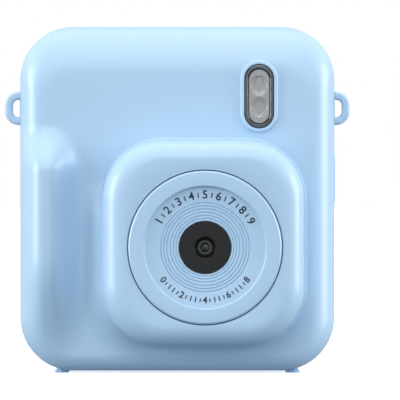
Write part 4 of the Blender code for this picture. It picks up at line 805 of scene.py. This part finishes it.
# grey ink on the keys' marks
printed_grey_ink = finish_of("printed_grey_ink", ("6C7683", "626C79"), 3, 0.5, 0.15, 0.01)
key_top = 24.0
lip_top = 20.95
lip_low = 20.15
lip_width = 0.7
for name, x, z, radius in keys:
    profile = [(radius * share, key_top - 0.12 * share ** 2) for share in np.linspace(0, 0.86, 6)]
    profile += [(radius - 0.15, key_top - 0.2), (radius - 0.03, key_top - 0.38), (radius, key_top - 0.6),
                (radius, lip_top),
                (radius + lip_width, lip_top), (radius + lip_width, lip_low), (0, lip_low)]
    key = add_mesh(name + "_cap", spun(profile, (x, 0, z), "+Y", steps=64), glossy_white_abs)
    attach(key, name + "_body")
    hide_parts(name)


def flat_mark(outline, x, z, scale=1.0):
    """A thin prism on a key's top from an outline seen from the back."""
    points = [(x - u * scale, key_top - 0.08, z + v * scale) for u, v in outline]
    points += [(x - u * scale, key_top + 0.03, z + v * scale) for u, v in outline]
    count = len(outline)
    faces = [tuple(range(count)), tuple(reversed(range(count, 2 * count)))]
    faces += [(k, k + count, (k + 1) % count + count, (k + 1) % count) for k in range(count)]
    return np.array(points), faces


def turned(outline, angle):
    """An outline turned anticlockwise about its centre."""
    c = math.cos(math.radians(angle))
    s = math.sin(math.radians(angle))
    return [(u * c - v * s, u * s + v * c) for u, v in outline]


arrow = [(1.0, 0), (-0.6, 0.9), (-0.6, -0.9)]
bar = [(-1.1, 0.14), (-1.1, -0.14), (1.1, -0.14), (1.1, 0.14)]
round_dot = [(0.9 * math.cos(k * math.pi / 12), 0.9 * math.sin(k * math.pi / 12)) for k in range(24)]
pictures = {"key_up": [(turned(arrow, 90), 0, 0.9)], "key_down": [(turned(arrow, -90), 0, 0.9)],
            "key_left": [(turned(arrow, 180), 0, 0.9)], "key_right": [(arrow, 0, 0.9)],
            "key_ok": [(round_dot, 0, 1.0)], "key_play": [(arrow, 0, 1.4)],
            "key_mode": [(bar, up, 1.2) for up in (-0.8, 0, 0.8)]}
for name, x, z, radius in keys:
    shapes = [flat_mark(outline, x, z + up, scale) for outline, up, scale in pictures[name]]
    mark = add_mesh(name + "_mark", together(*shapes), printed_grey_ink)
    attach(mark, name + "_body")

# ---- Screen ----
# A clear acrylic window glued into a recess round the opening, over the display panel.
# It is printed black round its edge, on the side that faces in.
# clear acrylic: the dark module behind it shows through under a thin gloss
clear_acrylic = finish_of("clear_acrylic", ("101216", "14161A"), 30, 0.06, 0.3, 0.0005, ior=1.49)
clear_acrylic.node_tree.nodes["Principled BSDF"].inputs["Alpha"].default_value = 0.4
width, height = screen_window
stations = [(back_face - 0.15, width - 0.4, height - 0.4, 4.0), (back_face - 0.35, width, height, 4.2),
            (back_face - 1.15, width, height, 4.2)]
pane = add_mesh("screen_pane", lofted(stations, (0, screen_z)), clear_acrylic)
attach(pane, "body")
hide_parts("screen_window")

# black border print: matt ink seen through the pane
border_black_ink = finish_of("border_black_ink", ("060608", "08080A"), 6, 0.45, 0.2, 0.004)
border_black_ink.node_tree.nodes["Principled BSDF"].inputs["Specular IOR Level"].default_value = 0.2
u, v, _ = loop_of(-22.9, 22.9, screen_z - 17.9, screen_z + 17.9, 4.0, 10, plain_sides)
inner_u, inner_v, _ = loop_of(-19.2, 19.2, screen_z - 14.4, screen_z + 14.4, 0.8, 10, plain_sides)
rings = [np.stack([a, np.full_like(a, y), b], 1)
         for a, b, y in ((u, v, 21.98), (u, v, 22.02), (inner_u, inner_v, 22.02), (inner_u, inner_v, 21.98))]
border = add_mesh("screen_border_print", skin_over(rings, True), border_black_ink)
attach(border, "body")

# switched-off display: near black with a cool tint and a fine upright streak
dark_display = finish_of("dark_display", ("0B0D11", "0E1116"), 12, 0.35, 0.3, 0.001, stretch=(1, 1, 0.2))
dark_display.node_tree.nodes["Principled BSDF"].inputs["Specular IOR Level"].default_value = 0.2

# ---- Port cover ----
# A moulded silicone flap over the charging port, with a plug behind it that fills the mouth of the port.
# It has three grip grooves near its upper end, and it is held by its tether at the lower end.
# soft silicone: matt, close to the colour of the shell, with a fine bloom
soft_blue_silicone = finish_of("soft_blue_silicone", ("A9CDEE", "A3C8EA"), 6, 0.55, 0.15, 0.02)
width, height = cover_size
outer_x = half_width + 0.4
stations = [(44.4, width, height, 1.5), (outer_x - 0.3, width, height, 1.5),
            (outer_x - 0.08, width - 0.25, height - 0.25, 1.4),
            (outer_x, width - 0.7, height - 0.7, 1.2)]
flap = add_mesh("port_cover_flap", lofted(stations, port, "X"), soft_blue_silicone)
carve(flap, lofted([(42.8, 3.2, 8.9, 1.5), (43.0, 3.4, 9.1, 1.6), (44.6, 3.4, 9.1, 1.6)], port, "X"), "UNION")
grooves_cut = [lofted([(outer_x - 0.18, 4.2, 0.35, 0.15), (outer_x + 1, 4.2, 0.5, 0.2)],
                      (port[0], port[1] + 4.4 + 0.8 * k), "X")
               for k in range(3)]
carve(flap, together(*grooves_cut))
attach(flap, "port_cover_body")
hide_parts("port_cover")


def dress(surface, *names):
    """Gives CAD nodes their finish."""
    for name in names:
        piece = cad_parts[name]
        piece.data.materials.clear()
        piece.data.materials.append(surface)


dress(soft_blue_silicone, "port_cover_tether")

# ---- Memory card ----
# A micro-size card of moulded black epoxy with its notches, and gold contacts at the end in the socket.
# It is held by the socket and pushed in or pulled out from the right.
# black epoxy: semi-matt with a fine speckle
speckled_black_epoxy = finish_of("speckled_black_epoxy", ("1B1C1F", "232427"), 0.6, 0.45, 0.2, 0.008)
low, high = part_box("memory_card")
left = low.x / MM
right = high.x / MM
front = low.y / MM
back = high.y / MM
under = low.z / MM
over = high.z / MM
outline = softened([(left, under, 0.3), (right, under, 0.5), (right, over, 0.5), (left + 8.2, over, 0.2),
                    (left + 7.4, over - 0.7, 0.1), (left + 6.2, over - 0.7, 0.1),
                    (left + 5.6, over - 1.3, 0.2),
                    (left, over - 1.3, 0.3)], 4)
middle = np.array([(left + right) / 2, (under + over) / 2])
rings = []
for y, less in ((back, 0.08), (back - 0.08, 0), (front + 0.08, 0), (front, 0.08)):
    flat = np.array(outline)
    flat = middle + (flat - middle) * (1 - less / 6)
    rings.append(np.stack([flat[:, 0], np.full(len(flat), y), flat[:, 1]], 1))
card = add_mesh("memory_card_case", skin_over(rings), speckled_black_epoxy)
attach(card, "memory_card_body")
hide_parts("memory_card")

# plated gold contacts: bright, with fine wear lines along the way the card slides
worn_gold = finish_of("worn_gold", ("E8C26A", "D9AF55"), 2, 0.28, 0.12, 0.004, metallic=1.0,
                      stretch=(0.1, 1, 1))
pads = [lofted([(front + 0.05, 2.6, 0.8, 0.1), (front + 0.001, 2.6, 0.8, 0.1)],
               (left + 2.2, under + 1.4 + 1.05 * k))
        for k in range(8)]
contacts = add_mesh("memory_card_contacts", together(*pads), worn_gold)
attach(contacts, "memory_card_body")

# ---- Housing screws ----
# Four self-tapping steel screws in the wells of the back, zinc plated, each head with a cross recess.
# They hold the two shells together.
# zinc-plated steel: bright grey with a faint drawn grain
plated_steel = finish_of("plated_steel", ("B9BCC0", "A8ACB1"), 1.5, 0.32, 0.1, 0.004, metallic=1.0,
                         stretch=(1, 0.2, 1))
for name in ("low_left", "low_right", "high_left", "high_right"):
    low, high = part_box("housing_screw_" + name)
    x = (low.x + high.x) / 2 / MM
    z = (low.z + high.z) / 2 / MM
    head = (high.x - low.x) / 2 / MM
    top = high.y / MM
    tip = low.y / MM
    profile = [(0, top), (head * 0.6, top - 0.04), (head * 0.9, top - 0.35), (head, top - 0.8),
               (head, top - 1.6),
               (0.75, top - 1.6)]
    y = top - 1.6
    while y - 0.8 > tip + 0.6:
        profile += [(1.0, y - 0.4), (0.75, y - 0.8)]
        y -= 0.8
    profile += [(0.6, tip + 0.3), (0, tip)]
    screw = add_mesh("housing_screw_" + name + "_cross", spun(profile, (x, 0, z), "+Y", steps=40),
                     plated_steel)
    arms = [lofted([(top + 1, *size, 0.05), (top - 0.9, size[0] * 0.8, size[1] * 0.8, 0.05)], (x, z), arc=3)
            for size in ((2.3, 0.55), (0.56, 2.31))]
    for arm in arms:
        carve(screw, arm)
    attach(screw, "body")
    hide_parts("housing_screw_" + name)

# ---- Status light ----
# A small milky light guide, moulded in polycarbonate.
# It is pressed in from inside, above the microphone.
# milky polycarbonate: pale and slightly cloudy
milky_plastic = finish_of("milky_plastic", ("E9F1F0", "DCE8E8"), 1.5, 0.3, 0.15, 0.003)
low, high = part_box("status_light")
radius = (high.x - low.x) / 2 / MM
dome = [(light_radius * share, high.y / MM - 0.12 * share ** 2) for share in np.linspace(0, 1, 7)]
base = [(radius, low.y / MM)]
if radius > light_radius + 0.05:
    base = [(light_radius, 20.9), (radius, 20.9), (radius, low.y / MM)]
guide_light = add_mesh("status_light_dome", spun(dome + base + [(0, low.y / MM)], (light[0], 0, light[1]),
                                                 "+Y", steps=40),
                       milky_plastic)
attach(guide_light, "body")
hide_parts("status_light")

# ---- Screen module, inside ----
# The display panel lies in a white plastic tray behind the pane.
# The key mat below it is moulded in grey silicone rubber.
# white polycarbonate tray: matt, with a slight orange peel
matt_white_tray = finish_of("matt_white_tray", ("E6E8EA", "DADEE2"), 6, 0.55, 0.4, 0.02)
# grey silicone rubber: dull, faintly mottled with chalk
chalky_grey_rubber = finish_of("chalky_grey_rubber", ("7B8086", "6E7379"), 4, 0.75, 0.25, 0.03)
dress(dark_display, "display_panel")
dress(matt_white_tray, "display_tray")
dress(chalky_grey_rubber, "key_mat")

# ---- Circuit boards and chips, inside ----
# Main board, camera module, flash board and switch board, with their chips, switches and sockets.
# Each board is screwed or clipped to posts of the shells, and film leads join them.
# green solder mask: glossy, with the board beneath just felt in the relief
solder_mask_green = finish_of("solder_mask_green", ("1E5A3E", "246847"), 3, 0.3, 0.4, 0.02, coat=0.3)
# moulded chip packages: matt charcoal with a sparkle of filler
charcoal_chip = finish_of("charcoal_chip", ("26272A", "303136"), 0.8, 0.55, 0.1, 0.01)
# stamped stainless steel shields: brushed along their length
brushed_steel = finish_of("brushed_steel", ("B4B8BC", "C2C6CA"), 2, 0.3, 0.15, 0.006, metallic=1.0,
                          stretch=(0.05, 1, 1))
# polyimide lead: amber film with copper showing through
amber_film = finish_of("amber_film", ("B9722B", "A8621F"), 1.2, 0.28, 0.3, 0.006, coat=0.4,
                       stretch=(0.2, 1, 1))
# black capsules of the speaker and microphone: dull, with a fine woven grain
woven_black = finish_of("woven_black", ("26282B", "1D1F22"), 0.5, 0.6, 0.12, 0.02)
# phosphor of the flash light: pale yellow and chalky
yellow_phosphor = finish_of("yellow_phosphor", ("EFE3A0", "E4D481"), 0.8, 0.5, 0.1, 0.008)
dress(solder_mask_green, "main_board", "sensor_board", "flash_board", "top_switch_board")
dress(charcoal_chip, "processor_chip", "memory_chip", "sensor_holder", "battery_plug")
dress(brushed_steel, "usb_port", "card_socket", "shutter_switch", "power_switch")
dress(amber_film, "sensor_flex", "flash_flex", "switch_flex")
dress(woven_black, "speaker", "microphone")
dress(yellow_phosphor, "flash_light")
dress(plated_steel, "board_screw_1", "board_screw_2", "board_screw_3")

# ---- Battery, inside ----
# A soft pouch cell in silver film, kept in place by the shells.
# Its two leads run up to the plug on the main board.
# aluminised pouch film: silvery with soft creases
creased_pouch = finish_of("creased_pouch", ("C9CDD2", "B7BCC2"), 9, 0.34, 3.5, 0.12, metallic=0.85)
# insulation of the leads: glossy vinyl
red_vinyl = finish_of("red_vinyl", ("B3261E", "A31F1A"), 1.5, 0.3, 0.3, 0.006)
black_vinyl = finish_of("black_vinyl", ("1C1C1E", "242427"), 1.5, 0.3, 0.3, 0.006)
dress(creased_pouch, "battery")
dress(red_vinyl, "battery_wire_red")
dress(black_vinyl, "battery_wire_black")

# ---- Stage ----
# A pale table that runs back out of sight, a large soft light above, one on each side and one high in front.
floor_mesh = bpy.data.meshes.new("floor")
floor_mesh.from_pydata([(-40, -40, 0), (40, -40, 0), (40, 40, 0), (-40, 40, 0)], [], [(0, 1, 2, 3)])
floor = bpy.data.objects.new("floor", floor_mesh)
bpy.context.scene.collection.objects.link(floor)
# white paper sweep: a plain pale sheet that glows just enough to stay white away from the object
white_sweep = bpy.data.materials.new("white_sweep")
white_sweep.use_nodes = True
tree = white_sweep.node_tree
shader = tree.nodes["Principled BSDF"]
place = node(tree, "ShaderNodeTexCoord").outputs["Object"]
fibre = node(tree, "ShaderNodeTexNoise", {"Scale": 700.0, "Detail": 3.0}, {"Vector": place})
shade = node(tree, "ShaderNodeMapRange", {"To Min": 0.88, "To Max": 0.9}, {"Value": fibre.outputs["Fac"]})
paper = node(tree, "ShaderNodeCombineColor", links={"Red": shade.outputs[0], "Green": shade.outputs[0],
                                                    "Blue": shade.outputs[0]})
tree.links.new(paper.outputs["Color"], shader.inputs["Base Color"])
shader.inputs["Roughness"].default_value = 0.9
shader.inputs["Emission Color"].default_value = (1, 1, 1, 1)
shader.inputs["Emission Strength"].default_value = 0.62
floor_mesh.materials.append(white_sweep)
floor.visible_diffuse = False
floor.visible_glossy = False

world = bpy.data.worlds.new("studio")
bpy.context.scene.world = world
world.use_nodes = True
tree = world.node_tree
tree.nodes.clear()
place = node(tree, "ShaderNodeTexCoord").outputs["Generated"]
split = node(tree, "ShaderNodeSeparateXYZ", links={"Vector": place})
level = node(tree, "ShaderNodeMapRange", {"From Min": -1.0, "From Max": 1.0}, {"Value": split.outputs["Z"]})
sky = node(tree, "ShaderNodeValToRGB", links={"Fac": level.outputs["Result"]})
sky.color_ramp.elements[0].position = 0.2
sky.color_ramp.elements[0].color = linear("93A6B8")
sky.color_ramp.elements[1].position = 0.8
sky.color_ramp.elements[1].color = linear("FFFFFF")
horizon = sky.color_ramp.elements.new(0.5)
horizon.color = linear("F4F8FB")
soft = node(tree, "ShaderNodeBackground", {"Strength": 0.68}, {"Color": sky.outputs["Color"]})
plain = node(tree, "ShaderNodeBackground", {"Color": (1, 1, 1, 1), "Strength": 1.0})
path = node(tree, "ShaderNodeLightPath")
either = node(tree, "ShaderNodeMixShader", links={"Fac": path.outputs["Is Camera Ray"], 1: soft.outputs[0],
                                                  2: plain.outputs[0]})
node(tree, "ShaderNodeOutputWorld", links={"Surface": either.outputs[0]})

for name, spot, size, power in (("overhead", (0.02, -0.12, 0.75), 0.7, 1.9),
                                ("right_side", (0.8, -0.1, 0.2), 0.5, 4.6),
                                ("left_side", (-0.8, -0.2, 0.22), 0.45, 4.4),
                                ("front_fill", (0.0, -1.2, 0.9), 0.9, 4.2)):
    area = bpy.data.lights.new(name, "AREA")
    area.size = size
    area.energy = power
    lamp = bpy.data.objects.new(name, area)
    bpy.context.scene.collection.objects.link(lamp)
    lamp.location = spot
    lamp.rotation_euler = (Vector((0.005, 0, 0.05)) - Vector(spot)).to_track_quat("-Z", "Y").to_euler()

camera = bpy.data.cameras.new("camera")
eye = bpy.data.objects.new("camera", camera)
bpy.context.scene.collection.objects.link(eye)
eye_distance = 2.2
frame_width = 0.11464
eye.location = (0.0065, -eye_distance, 0.0494)
eye.rotation_euler = (math.pi / 2, 0, 0)
camera.sensor_width = 36.0
camera.lens = 36.0 * eye_distance / frame_width
camera.clip_end = 60.0
bpy.context.scene.camera = eye
bpy.context.scene.view_settings.view_transform = "Standard"
